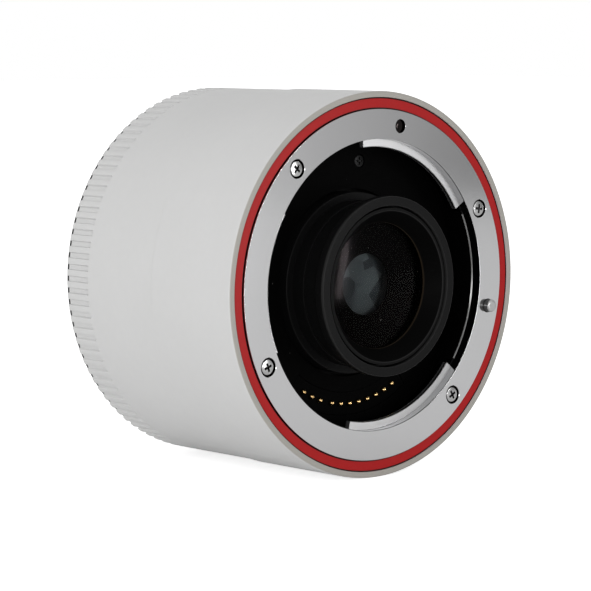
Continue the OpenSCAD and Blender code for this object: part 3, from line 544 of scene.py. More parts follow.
def coil(shape, centre, back, front, radius, wire, curls):
    """A spring: the round section of its wire carried along a screw line, closed at both ends."""
    steps = COIL_STEPS * curls + 1
    turn = np.linspace(0, 2 * math.pi * curls, steps)[:, None]
    ahead = np.linspace(back + wire, front - wire, steps)[:, None]
    section = full_turn(WIRE_SIDES)
    tube = polar(radius + wire * np.cos(section), turn, ahead + wire * np.sin(section), centre)
    shape.grid(tube, wrap_columns=True)
    shape.cap(tube[0])
    shape.cap(tube[-1])


def add(tree, kind, values=None, **settings):
    """Adds a node. values maps its inputs to sockets, which are linked, or to plain values."""
    node = tree.nodes.new(kind)
    for key, value in settings.items():
        setattr(node, key, value)
    for key, value in (values or {}).items():
        if isinstance(value, bpy.types.NodeSocket):
            tree.links.new(value, node.inputs[key])
        else:
            node.inputs[key].default_value = value
    return node


def calc(tree, operation, *values):
    """A Math node's result."""
    return add(tree, "ShaderNodeMath", dict(enumerate(values)), operation=operation).outputs[0]


def within(tree, value, low, high):
    """1 where a value lies between two others, and 0 elsewhere."""
    return calc(tree, "MULTIPLY", calc(tree, "GREATER_THAN", value, low),
                calc(tree, "LESS_THAN", value, high))


def ranged(tree, value, start, end, low=0.0, high=1.0, kind="LINEAR"):
    """A value carried from the range start to end over to the range low to high, and held there."""
    bounds = dict(enumerate((value, start, end, low, high)))
    return add(tree, "ShaderNodeMapRange", bounds, interpolation_type=kind).outputs[0]


def scaled(tree, shade, factor):
    """A colour times a number."""
    return add(tree, "ShaderNodeVectorMath", {0: shade, "Scale": factor}, operation="SCALE").outputs[0]


def mixed(tree, share, under, over):
    """One colour laid over another by a share; a plain colour is given by its three parts."""
    under, over = (end if isinstance(end, bpy.types.NodeSocket) else (*end, 1.0) for end in (under, over))
    values = {MIX_SHARE: share, MIX_UNDER: under, MIX_OVER: over}
    return add(tree, "ShaderNodeMix", values, data_type="RGBA").outputs[MIX_COLOUR]


def coordinate(tree, vector, axis):
    """One coordinate of a vector."""
    return add(tree, "ShaderNodeSeparateXYZ", {0: vector}).outputs[axis]


def object_place(tree):
    """Object coordinates, which every pattern on a piece reads."""
    return add(tree, "ShaderNodeTexCoord").outputs["Object"]


def about_axis(tree):
    """Radius about the barrel's axis and height forward of the camera face, from Object coordinates."""
    place = object_place(tree)
    flat = add(tree, "ShaderNodeVectorMath", {0: place, 1: (1.0, 0.0, 1.0)}, operation="MULTIPLY").outputs[0]
    radius = add(tree, "ShaderNodeVectorMath", {0: flat}, operation="LENGTH").outputs["Value"]
    return radius, calc(tree, "MULTIPLY", coordinate(tree, place, "Y"), -1.0)


def random_cells(tree, scale):
    """A lattice of random cells: the distance from a cell's middle, and a random number for the cell."""
    cells = add(tree, "ShaderNodeTexVoronoi", {"Vector": object_place(tree), "Scale": scale}).outputs
    return cells["Distance"], add(tree, "ShaderNodeSeparateColor", {0: cells["Color"]}).outputs[0]


def new_group(name, inputs, outputs):
    """A shader node group with number inputs and outputs: the tree, its inputs and its end node."""
    tree = bpy.data.node_groups.new(name, "ShaderNodeTree")
    for label, value in inputs.items():
        socket = tree.interface.new_socket(label, in_out="INPUT", socket_type="NodeSocketFloat")
        socket.default_value = value
    for label in outputs:
        tree.interface.new_socket(label, in_out="OUTPUT", socket_type="NodeSocketFloat")
    return tree, tree.nodes.new("NodeGroupInput").outputs, tree.nodes.new("NodeGroupOutput").inputs


def tone_and_height(tree, noise, contrast, out):
    """Puts noise about a half out as a tone about 1, spread by the contrast, and as a height about 0."""
    height = calc(tree, "SUBTRACT", noise, 0.5)
    tree.links.new(calc(tree, "MULTIPLY_ADD", height, contrast, 1.0), out["Tone"])
    tree.links.new(height, out["Height"])


def mottle_group():
    """Cloudy unevenness of paint and castings: fractal noise on Object coordinates."""
    tree, given, out = new_group("Mottle", {"Scale": 800.0, "Detail": 3.0, "Contrast": 0.1},
                                 ("Tone", "Height"))
    noise = add(tree, "ShaderNodeTexNoise", {"Vector": object_place(tree), "Scale": given["Scale"],
                                             "Detail": given["Detail"], "Roughness": 0.6})
    tone_and_height(tree, noise.outputs[0], given["Contrast"], out)


def turning_group():
    """Lathe marks: noise along the radius less the height, so that they run round faces and walls alike."""
    tree, given, out = new_group("Turning marks", {"Scale": 6000.0, "Contrast": 0.1}, ("Tone", "Height"))
    radius, ahead = about_axis(tree)
    line = calc(tree, "MULTIPLY", calc(tree, "SUBTRACT", radius, ahead), given["Scale"])
    noise = add(tree, "ShaderNodeTexNoise", {"W": line, "Scale": 1.0, "Detail": 2.0}, noise_dimensions="1D")
    tone_and_height(tree, noise.outputs[0], given["Contrast"], out)


def band_group():
    """A soft band round the axis: within Width of a Radius, between the heights From and To."""
    tree, given, out = new_group("Band", {"Radius": 0.03, "Width": 0.0001, "From": 0.0, "To": 1.0}, ("Mask",))
    radius, ahead = about_axis(tree)
    off = calc(tree, "ABSOLUTE", calc(tree, "SUBTRACT", radius, given["Radius"]))
    near = ranged(tree, calc(tree, "DIVIDE", off, given["Width"]), 0.0, 1.0, 1.0, 0.0, "SMOOTHSTEP")
    inside = within(tree, ahead, given["From"], given["To"])
    tree.links.new(calc(tree, "MULTIPLY", near, inside), out["Mask"])


def speck_group():
    """Dust: a small dot inside some of the cells of a random lattice, more of them as Amount grows."""
    tree, given, out = new_group("Specks", {"Scale": 900.0, "Size": 0.12, "Amount": 0.2}, ("Mask",))
    distance, pick = random_cells(tree, given["Scale"])
    chosen = calc(tree, "LESS_THAN", pick, given["Amount"])
    inside = calc(tree, "LESS_THAN", distance, given["Size"])
    tree.links.new(calc(tree, "MULTIPLY", chosen, inside), out["Mask"])


def use(tree, name, values):
    """Places a node group in a material with its own values."""
    return add(tree, "ShaderNodeGroup", values, node_tree=bpy.data.node_groups[name]).outputs


def new_material(name):
    """A new material's tree and its shader."""
    made = bpy.data.materials.new(name + FINISH)
    made.use_nodes = True
    return made.node_tree, made.node_tree.nodes["Principled BSDF"]


def source(shader, label):
    """The socket that feeds an input of the shader so far."""
    return shader.inputs[label].links[0].from_socket


def finish(name, tint, rough, metallic=0.0, mottle=(800.0, 0.08), rough_spread=0.3, turning=None,
           bump=0.1, dust=0.0, bands=(), **sockets):
    """A material whose colour, roughness and relief all vary: its tree and its shader.

    mottle is the scale and contrast of its unevenness, turning the scale and contrast of its lathe marks,
    dust the share of cells that hold a speck, and bands a list of lines round the axis, painted highlights
    and painted shade among them, each given by radius, half width, lowest and highest height, and colour.
    Further sockets of the shader are set to plain values.
    """
    tree, shader = new_material(name)
    shader.inputs["Metallic"].default_value = metallic
    for label, value in sockets.items():
        shader.inputs[label.replace("_", " ")].default_value = value
    cloud = use(tree, "Mottle", {"Scale": mottle[0], "Contrast": mottle[1]})
    tone = cloud["Tone"]
    height = cloud["Height"]
    if turning:
        marks = use(tree, "Turning marks", {"Scale": turning[0], "Contrast": turning[1]})
        tone = calc(tree, "MULTIPLY", tone, marks["Tone"])
        height = calc(tree, "ADD", height, marks["Height"])
    base = scaled(tree, tuple(tint), tone)
    if dust:
        base = mixed(tree, use(tree, "Specks", {"Amount": dust})["Mask"], base, DUST)
    for radius, width, start, end, shade in bands:
        line = use(tree, "Band", {"Radius": radius, "Width": width, "From": start, "To": end})
        base = mixed(tree, line["Mask"], base, shade)
    tree.links.new(base, shader.inputs["Base Color"])
    wear = use(tree, "Mottle", {"Scale": WEAR_SHARE * mottle[0], "Contrast": rough_spread})
    tree.links.new(calc(tree, "MULTIPLY", wear["Tone"], rough), shader.inputs["Roughness"])
    relief = add(tree, "ShaderNodeBump", {"Strength": bump, "Distance": RELIEF, "Height": height})
    tree.links.new(relief.outputs[0], shader.inputs["Normal"])
    return tree, shader


def shell_finish(tones):
    """Pale barrel paint with faint smudges, a worn, warmer front lip, and painted shade: the wall inside the
    lip, beside the red ring, is painted dark.
    """
    wear_start, wear_full = 0.22 * MM, 0.06 * MM
    skin, hair = 0.05 * MM, 0.01 * MM
    tree, shader = finish("white_shell", tones.shell, 0.42, mottle=(700.0, 0.035), rough_spread=0.35,
                          bump=0.25, Specular_IOR_Level=0.25)
    smudge = use(tree, "Mottle", {"Scale": 45.0, "Detail": 5.0, "Contrast": 0.06})
    paint = scaled(tree, source(shader, "Base Color"), smudge["Tone"])
    radius, ahead = about_axis(tree)
    worn = mixed(tree, ranged(tree, ahead, LIP_FRONT - wear_start, LIP_FRONT - wear_full), paint, tones.lip)
    # Painted shade: the wall inside the lip, next to the red ring, takes the dark gap colour
    painted_lip_shade = mixed(tree, ranged(tree, radius, LIP_IN, LIP_IN + skin), tones.gap, worn)
    beside_red = within(tree, ahead, RING_BACK - hair, RED_FRONT + skin)
    tree.links.new(mixed(tree, beside_red, worn, painted_lip_shade), shader.inputs["Base Color"])


def chrome_finish(tones, mount):
    """Polished plate, rougher, turned and a little darker on the tabs; painted shade darkens the throat's
    edge and the tabs' inner edges and blackens the holes of both mounts.
    """
    edge_width, edge_depth, hair = 0.16 * MM, 0.25 * MM, 0.005 * MM
    tip_width, skin, recess_play = 0.2 * MM, 0.05 * MM, 0.2 * MM
    tab_tone, tab_rough, past_bevel = 0.92, 0.42, 1.5
    # Painted shade: darker bands on the throat's edge and along the inner edges of the tabs
    edge = (mount.throat, edge_width, LENS_FACE - edge_depth, LENS_FACE - hair, tones.worn)
    tab_edge_shade = (mount.tab_radius, tip_width, RING_BACK, LENS_FACE, tones.worn)
    tree, shader = finish("chrome", tones.chrome, 0.11, 1.0, mottle=(300.0, 0.03), turning=(9000.0, 0.05),
                          bump=0.04, rough_spread=0.25, bands=[edge, tab_edge_shade])
    plate = source(shader, "Base Color")
    radius, ahead = about_axis(tree)
    tabs = calc(tree, "MULTIPLY", calc(tree, "LESS_THAN", radius, mount.throat - skin),
                calc(tree, "GREATER_THAN", ahead, SEAM))
    marks = use(tree, "Turning marks", {"Scale": 8000.0, "Contrast": 0.16})
    turned = scaled(tree, plate, calc(tree, "MULTIPLY", marks["Tone"], tab_tone))
    plate = mixed(tree, tabs, plate, turned)
    # Painted shade: below their bevels, the walls of the screw recesses, index hole and lock holes of both
    # mounts take the dark gap colour
    off = calc(tree, "ABSOLUTE", calc(tree, "SUBTRACT", radius, mount.hole_circle))
    front_depth = calc(tree, "MINIMUM", calc(tree, "SUBTRACT", LENS_FACE, ahead),
                       calc(tree, "SUBTRACT", ahead, RING_BACK))
    rear_depth = calc(tree, "MINIMUM", ahead, calc(tree, "SUBTRACT", FLANGE_FRONT, ahead))
    depth = calc(tree, "MAXIMUM", front_depth, rear_depth)
    holes = calc(tree, "MULTIPLY", calc(tree, "GREATER_THAN", depth, past_bevel * mount.bevel),
                 calc(tree, "LESS_THAN", off, mount.recess + recess_play))
    tree.links.new(mixed(tree, holes, plate, tones.gap), shader.inputs["Base Color"])
    tree.links.new(ranged(tree, tabs, 0.0, 1.0, source(shader, "Roughness"), tab_rough),
                   shader.inputs["Roughness"])


def spring_finish(tones):
    """Spring steel, with painted shade: black where the plate behind the mount goes under the upper and the
    lower tab.
    """
    upper_tab, lower_tab, plate_depth = 16.3 * MM, -10.9 * MM, 3 * MM
    tree, shader = finish("spring_steel", tones.steel, 0.2, 1.0, turning=(5000.0, 0.05), bump=0.05)
    up = coordinate(tree, object_place(tree), "Z")
    painted_shade_under_tabs = calc(tree, "MAXIMUM", calc(tree, "GREATER_THAN", up, upper_tab),
                      calc(tree, "LESS_THAN", up, lower_tab))
    plate = calc(tree, "GREATER_THAN", about_axis(tree)[1], RING_BACK - plate_depth)
    # Painted shade: the plate's ends under the tabs take the black trim colour
    ends = calc(tree, "MULTIPLY", painted_shade_under_tabs, plate)
    tree.links.new(mixed(tree, ends, source(shader, "Base Color"), tones.trim), shader.inputs["Base Color"])


def inner_glass_finish(tones):
    """A satin stand-in for what the elements behind the first one reflect, with painted ghost reflections in
    random cells.
    """
    ghost_scale, faint, strong = 205.0, 0.5, 1.5
    tree, shader = finish("inner_glass", tones.depth, 0.5, 1.0, mottle=(200.0, 0.2), bump=0.0)
    # Painted reflections: each random cell scales the colour between faint and strong
    level = ranged(tree, random_cells(tree, ghost_scale)[1], 0.0, 1.0, faint, strong)
    tree.links.new(scaled(tree, source(shader, "Base Color"), level), shader.inputs["Base Color"])


def glass_finish(tones):
    """Coated glass: dark, with a trace of haze and dust. Its low index stands for the weak reflection."""
    coated_index, haze, dust = 1.1, 0.11, 0.4
    tree, shader = new_material("glass")
    shader.inputs["Base Color"].default_value = (*tones.glass, 1.0)
    shader.inputs["Transmission Weight"].default_value = 1.0
    shader.inputs["IOR"].default_value = coated_index
    shader.inputs["Specular Tint"].default_value = (*tones.coating, 1.0)
    specks = use(tree, "Specks", {"Scale": 700.0, "Size": 0.05, "Amount": 0.08})
    tree.links.new(ranged(tree, specks["Mask"], 0.0, 1.0, haze, dust), shader.inputs["Roughness"])


def make_materials(tones, mount, optics):
    """A finish for each slot of the record, under its name, and more for inner glass, lock pin and cone."""
    for build in (mottle_group, turning_group, speck_group, band_group):
        build()
    shell_finish(tones)
    chrome_finish(tones, mount)
    spring_finish(tones)
    inner_glass_finish(tones)
    glass_finish(tones)
    line, slot, rim_depth = 0.07 * MM, 0.16 * MM, 0.6 * MM
    red_in, red_out = red_radii()
    head_front = span("front_mount_screws")[1]
    head_back = span("rear_mount_screws")[0]
    pin_front = span("lock_pin")[1]
    wide = 9 * mount.head
    rim = CELL_FRONT - rim_depth
    finish("black_trim", tones.trim, 0.45, mottle=(2500.0, 0.2), bump=0.3, dust=0.05)
    # Painted shade: a dark line along the inner and the outer edge of the red ring stands for the gaps beside
    # it
    finish("red_paint", tones.red, 0.35, mottle=(900.0, 0.12), bump=0.12, Specular_IOR_Level=0.1,
           bands=[(red_in, 3 * line, RING_BACK, LENS_FACE, tones.gap),
                  (red_out, 3 * line, RING_BACK, LENS_FACE, tones.gap)])
    # Painted shade: the screws below the tops of their heads, their crosses included, take the dark edge
    # colour
    finish("screw_steel", tones.screw, 0.2, 1.0, mottle=(1500.0, 0.1), bump=0.08,
           bands=[(mount.hole_circle, wide, RING_BACK, head_front - slot, tones.edge),
                  (mount.rear_circle, wide, head_back + slot, SEAM, tones.edge)])
    # Painted shade: the lock pin below the top of its tip takes the darker colour
    finish("pin_steel", tones.screw, 0.34, 1.0, mottle=(1500.0, 0.1), bump=0.08,
           bands=[(mount.hole_circle, wide, SEAM, pin_front - 2 * slot, tones.worn)])
    finish("frame_alloy", tones.alloy, 0.5, 0.9, mottle=(1200.0, 0.2), bump=0.3)
    finish("black_plastic", tones.baffle, 0.62, mottle=(3000.0, 0.3), bump=0.35, dust=0.003,
           Specular_IOR_Level=0.02)
    finish("black_screw", tones.cell, 0.35, mottle=(2000.0, 0.2), Specular_IOR_Level=0.1)
    # Painted highlights: lighter lines round the rim's outer edge and the edge of its bore
    finish("lens_black", tones.cell, 0.4, mottle=(1500.0, 0.15), turning=(7000.0, 0.25), bump=0.12,
           dust=0.003, Specular_IOR_Level=0.06,
           bands=[(optics.rim, 3 * line, rim, CELL_FRONT, tones.edge),
                  (optics.ring_bore, 2 * line, rim, CELL_FRONT, tones.edge)])
    # Painted highlights: lighter lines on the edges of the ring's band and lip, and a brownish glint at its
    # inner edge over the glass
    finish("cone_black", tones.baffle, 0.5, mottle=(1500.0, 0.15), turning=(5000.0, 0.3), bump=0.1,
           Specular_IOR_Level=0.02,
           bands=[(optics.ring_band, 2 * line, rim, CELL_FRONT, tones.edge),
                  (optics.ring_band - 3.5 * line, 5 * line, rim, CELL_FRONT, tones.land),
                  (optics.ring_lip, 2 * line, rim, CELL_FRONT, tones.edge),
                  (optics.ring_inner, line, GLASS_BACK, CELL_FRONT, tones.painted_glint)])
    finish("gold", tones.gold, 0.2, 1.0, mottle=(2500.0, 0.1), bump=0.06)
    finish("board_green", tones.board, 0.45, mottle=(3000.0, 0.3))
    finish("chip_black", tones.lever, 0.6, mottle=(4000.0, 0.3))
    finish("flex_amber", tones.cable, 0.35, mottle=(1500.0, 0.2))
    finish("lever_black", tones.lever, 0.48, mottle=(3500.0, 0.3), bump=0.4)


def material(name):
    """The finish made for a slot; the frame's own plain materials have the bare names."""
    return bpy.data.materials[name + FINISH]


def lever_place(lever):
    """Middle of the lever's stem along the barrel."""
    back, front = span("release_lever")
    return (back + front) / 2 - lever.stem_behind


def front_shell(barrel, lever):
    """Front barrel: its outline turned right round, with a window for the stem of the release lever.

    The rows at the ends of the window are put into the outline, the faces between them are left out over a
    few columns on both walls, and a strip joins the two edges of the window.
    """
    flange_back = RING_BACK - barrel.flange
    corners = [(barrel.inside, SEAM), (FRONT_R, SEAM), (FRONT_R, LIP_FRONT), (LIP_IN, LIP_FRONT),
               (LIP_IN, RING_BACK), (barrel.flange_radius, RING_BACK), (barrel.flange_radius, flange_back),
               (barrel.inside, flange_back)]
    lip_inner_round = 0.12 * MM
    outline = soften(corners, [0, barrel.seam_round, barrel.lip_round, lip_inner_round, 0, 0, 0, 0])
    per_corner = len(outline) // len(corners)
    middle = lever_place(lever) - lever.travel / 2
    half = (lever.stem_length + lever.travel) / 2 + lever.play
    ends = np.array([middle - half, middle + half])
    steps = math.ceil((lever.stem_width / 2 + lever.play) / FRONT_R * TURNS / (2 * math.pi))
    outer_row = 2 * per_corner
    outline = np.insert(outline, outer_row, np.stack([np.full(2, FRONT_R), ends], axis=1), axis=0)
    inner_row = len(outline)
    outline = np.concatenate([outline, np.stack([np.full(2, barrel.inside), ends[::-1]], axis=1)])
    columns = np.arange(-steps, steps + 1) % TURNS
    keep = np.ones((len(outline), TURNS), bool)
    keep[np.ix_([outer_row, inner_row], columns[:-1])] = False
    turn = full_turn(TURNS)
    points = polar(outline[:, 0, None], turn[None], outline[:, 1, None])
    shape = Shape()
    shape.grid(points, wrap_rows=True, wrap_columns=True, keep=keep)
    rim = np.concatenate([points[outer_row, columns], points[outer_row + 1, columns[::-1]]])
    inner_rim = np.concatenate([points[inner_row + 1, columns], points[inner_row, columns[::-1]]])
    shape.grid(np.stack([rim, inner_rim]), wrap_columns=True)
    shape.piece("front_shell_paint", material("white_shell"), BARREL, "front_shell", "white_shell")


def rear_shell(barrel):
    """Rear barrel: radius as a function of angle and height, less the grooves of the grip.

    A groove is open at the back. Its depth goes from its full value to nothing through a smooth step across
    each wall, and through another at its front end; the columns and rows lie close together there.
    """
    pitch = 2 * math.pi / barrel.rib_count
    half = barrel.groove / 2
    wall = barrel.groove_wall
    slope = np.linspace(-WALL_OVER, 1 + WALL_OVER, WALL_STEPS)
    side = np.concatenate([half - wall * slope, [half / 3]])
    across = np.concatenate([-side, side[::-1], [REAR_R * pitch / 2]])
    turn = (full_turn(barrel.rib_count)[:, None] + across / REAR_R).ravel()
    off = np.tile(np.abs(across), barrel.rib_count)
    end = GRIP_BACK + barrel.rib_length
    edge = barrel.seam_round
    quarter = np.linspace(0, math.pi / 2, CORNER_STEPS)
    height = np.concatenate([
        GRIP_BACK + edge * (1 - np.cos(quarter)),
        [GRIP_BACK + 2 * edge, end - 2 * wall],
        end - wall * slope[::-1],
        [end + 3 * wall, SEAM_BACK - 3 * edge],
        SEAM_BACK - edge * (1 - np.sin(quarter)),
    ])
    past_end = np.maximum(np.maximum(GRIP_BACK + edge - height, height - SEAM_BACK + edge), 0)
    end_round = edge - np.sqrt(np.maximum(edge ** 2 - past_end ** 2, 0))
    depth = barrel.groove_depth * ramp((half - off) / wall)[None] * ramp((end - height) / wall)[:, None]
    shape = Shape()
    outer = polar(REAR_R - depth - end_round[:, None], turn[None], height[:, None])
    inner = polar(barrel.inside, turn[None], np.array([SEAM_BACK, GRIP_BACK])[:, None])
    shape.grid(np.concatenate([outer, inner]), wrap_rows=True, wrap_columns=True)
    shape.piece("rear_shell_paint", material("white_shell"), BARREL, "rear_shell", "white_shell")


def ring_piece(name, corners, radii, node, slot, steps=TURNS, look=None):
    """A plain ring: its corners rounded, then turned right round."""
    shape = Shape()
    shape.turn(soften(corners, radii), steps)
    shape.piece(name, material(look or slot), BARREL, node, slot)


class PieceOperator(bpy.types.Operator):
    """What the operators of the pieces share."""
    bl_options = {"REGISTER", "UNDO"}

    def execute(self, context):
        self.build(context.scene)
        return {"FINISHED"}


class CONVERTER_OT_materials(PieceOperator):
    """Make the finishes and put one on every solid of the frame."""
    bl_idname = "converter.materials"
    bl_label = "Finishes"

    def build(self, scene):
        make_materials(scene.converter_colours, scene.converter_mount, scene.converter_optics)
        inside = {name: "inner_glass" for name in LENS_NODES[1:-1]}
        inside["optical_tube_screws"] = "black_screw"
        inside.update({name: "cone_black" for name in frame["nodes"] if name.startswith("spacer_")})
        for part in frame["record"]["subparts"]:
            solid = frame["nodes"][part["node"]]
            solid.data.materials.clear()
            solid.data.materials.append(material(inside.get(part["node"], part["material_slot"])))


class CONVERTER_OT_barrel(PieceOperator):
    """Model the two white shells of the barrel."""
    bl_idname = "converter.barrel"
    bl_label = "Barrel"

    def build(self, scene):
        front_shell(scene.converter_barrel, scene.converter_lever)
        rear_shell(scene.converter_barrel)


class CONVERTER_OT_trim(PieceOperator):
    """Model the red ring round the lens mount and the black ring behind the grip."""
    bl_idname = "converter.trim"
    bl_label = "Trim rings"

    def build(self, scene):
        size = scene.converter_barrel
        red_in, red_out = red_radii()
        fine = 0.1 * MM
        ring_piece("red_ring_paint",
                   [(red_in, RING_BACK), (red_out, RING_BACK), (red_out, RED_FRONT), (red_in, RED_FRONT)],
                   [0, 0, fine, fine], "red_ring", "red_paint")
        foot_in = REAR_MOUNT_R + TRIM_GAP
        top = GRIP_BACK - SEAT_GAP
        web = reach("rear_baffle") + TRIM_GAP
        ring_piece("rear_trim_ring_black",
                   [(web, FLANGE_FRONT), (foot_in, FLANGE_FRONT), (foot_in, TRIM_BACK),
                    (TRIM_R - size.trim_slope, TRIM_BACK), (TRIM_R, top - size.trim_flat), (TRIM_R, top),
                    (FRAME_R, top), (FRAME_R, TRIM_FRONT), (web, TRIM_FRONT)],
                   [0, 0, fine, 2 * fine, 2 * fine, fine, 0, 0, 0], "rear_trim_ring", "black_trim")


def hole(radius, bevel, depth):
    """Profile of a hole with a bevelled mouth, as (radius, depth) from the face down."""
    return [(radius + bevel, 0), (radius, bevel), (radius, depth)]


def screw_recess(size):
    """Profile of the flat-bottomed recess round a screw head."""
    floor = size.head_height + size.bevel
    return hole(size.recess, size.bevel, floor) + [(0, floor)]


class CONVERTER_OT_front_mount(PieceOperator):
    """Model the chrome lens mount with its tabs, screw recesses, index hole and lock bore."""
    bl_idname = "converter.front_mount"
    bl_label = "Lens mount"

    def build(self, scene):
        size = scene.converter_mount
        cone, lower_round, upper_round = 0.7 * MM, 0.05 * MM, 0.06 * MM
        index = hole(size.index, size.bevel / 2, size.index_depth) + [(0, size.index_depth + cone)]
        bore = hole(size.lock_bore, size.bevel, LENS_FACE - RING_BACK)
        holes = [(size.hole_circle, angle, screw_recess(size), False) for angle in MOUNT_SCREW_ANGLES]
        holes.append((size.hole_circle, INDEX_ANGLE, index, False))
        holes.append((size.hole_circle, LOCK_ANGLE, bore, True))
        corners = [(MOUNT_R, RING_BACK), (MOUNT_R, LENS_FACE), (size.throat, LENS_FACE),
                   (size.throat, RING_BACK)]
        shape = Shape()
        drilled_ring(shape, corners, size.edge, holes)
        top = LENS_FACE - size.tab_depth
        bottom = top - size.tab
        root = size.throat + ROOT_OVERLAP
        tab = soften([(size.tab_radius, bottom), (root, bottom), (root, top), (size.tab_radius, top)],
                     [lower_round, 0, 0, upper_round], FEW_STEPS)
        for angles in TAB_ANGLES:
            shape.sector(tab, angles)
        shape.piece("front_mount_chrome", material("chrome"), BARREL, "front_mount_ring", "chrome")


class CONVERTER_OT_rear_mount(PieceOperator):
    """Model the chrome camera mount with its lugs, screw recesses and lock hole."""
    bl_idname = "converter.rear_mount"
    bl_label = "Camera mount"

    def build(self, scene):
        size = scene.converter_mount
        back_round, front_round = 0.25 * MM, 0.15 * MM
        lock = hole(size.lock_hole, size.bevel, FLANGE_FRONT)
        holes = [(size.rear_circle, angle, screw_recess(size), False) for angle in REAR_SCREW_ANGLES]
        holes.append((size.hole_circle, LOCK_ANGLE, lock, True))
        corners = [(REAR_MOUNT_R, FLANGE_FRONT), (REAR_MOUNT_R, 0), (size.male, 0), (size.male, BAYONET_END),
                   (size.male_inner, BAYONET_END), (size.male_inner, FLANGE_FRONT)]
        shape = Shape()
        drilled_ring(shape, corners, size.edge, holes)
        root = size.male - ROOT_OVERLAP
        front = -size.lug_depth
        back = front - size.lug
        lug = soften([(root, back), (size.lug_radius, back), (size.lug_radius, front), (root, front)],
                     [0, back_round, front_round, 0], FEW_STEPS)
        for angles in LUG_ANGLES:
            shape.sector(lug, angles)
        shape.piece("rear_mount_chrome", material("chrome"), BARREL, "rear_mount_ring", "chrome")


class CONVERTER_OT_screws(PieceOperator):
    """Model the cross-head screws of both mounts and of the throat floor."""
    bl_idname = "converter.screws"
    bl_label = "Screws"

    def build(self, scene):
        size = scene.converter_mount
        head = (size.head, size.head_height, size.shank)
        small = (size.small_head, size.small_height, size.small_shank)
        self.group("front_mount_screw", "screw_steel", size.hole_circle,
                   zip(MOUNT_SCREW_ANGLES, MOUNT_CROSS_TURNS), head, CROSS)
        self.group("rear_mount_screw", "screw_steel", size.rear_circle,
                   zip(REAR_SCREW_ANGLES, REAR_CROSS_TURNS), head, CROSS, -1)
        self.group("baffle_screw", "black_screw", size.floor_circle,
                   zip(FLOOR_SCREW_ANGLES, FLOOR_CROSS_TURNS), small, SMALL_CROSS)

    def group(self, name, slot, circle, places, sizes, cross, facing=1):
        """The screws on one circle. places pairs each one's angle round the barrel with its cross's turn."""
        node = name + "s"
        bottom, top = span(node)[::facing]
        shape = Shape()
        for angle, turn in places:
            screw(shape, on_circle(circle, angle), top, *sizes, bottom, turn, cross, facing)
        shape.piece(name + "_heads", material(slot), BARREL, node, slot)


class CONVERTER_OT_optics(PieceOperator):
    """Model the lens cell, its retaining ring and the front element."""
    bl_idname = "converter.optics"
    bl_label = "Lens cell and glass"

    def build(self, scene):
        size = scene.converter_optics
        fine = 0.08 * MM
        collar_ahead, collar_behind, neck_depth = 2.5 * MM, 1.1 * MM, 3.3 * MM
        wall, ring_step, cone_edge = 0.55 * MM, 0.1 * MM, 0.35 * MM
        cell_back = span("front_lens_cell")[0]
        floor = span("front_baffle")[0]
        collar_front = floor + collar_ahead
        collar_back = floor - collar_behind
        neck_back = LENS_FACE - neck_depth
        rim_back = CELL_FRONT - size.rim_length
        bore = size.neck - wall
        thread = bore - SEAT_GAP
        ring_piece("front_lens_cell_black", [
            (bore, cell_back), (size.body, cell_back), (size.body, collar_back), (COLLAR_R, collar_back),
            (COLLAR_R, collar_front), (size.body, collar_front), (size.body, neck_back),
            (size.neck, neck_back),
            (size.neck, rim_back), (size.rim, rim_back), (size.rim, CELL_FRONT), (size.ring_bore, CELL_FRONT),
            (size.ring_bore, rim_back), (bore, rim_back)],
            [0, 0, 0, fine, 3 * fine, 0, fine, 0, 0, 2 * fine, 3 * fine, 1.5 * fine, 0, 0],
            "front_lens_cell", "lens_black", CELL_TURNS)
        ring_front = CELL_FRONT - size.ring_depth
        ring_back = span("front_retaining_ring")[0]
        ring_piece("front_retaining_ring_black", [
            (size.ring_inner, ring_back), (thread, ring_back), (thread, rim_back),
            (size.ring_band, rim_back + ring_step), (size.ring_band, ring_front), (size.ring_lip, ring_front),
            (size.ring_inner, ring_back + cone_edge)],
            [0, 0, 0, 0, fine, fine, fine], "front_retaining_ring", "lens_black",
            CELL_TURNS, "cone_black")
        radius = np.linspace(0, GLASS_R, GLASS_RINGS)
        front = GLASS_FRONT - size.front_curve + np.sqrt(size.front_curve ** 2 - radius ** 2)
        back = GLASS_BACK + size.back_curve - np.sqrt(size.back_curve ** 2 - radius ** 2)
        shape = Shape()
        outline = np.concatenate([np.stack([radius, front], axis=1), np.stack([radius, back], axis=1)[::-1]])
        shape.turn(outline, GLASS_TURNS, closed=False)
        shape.piece("lens_1_glass", material("glass"), BARREL, "lens_1", "glass")


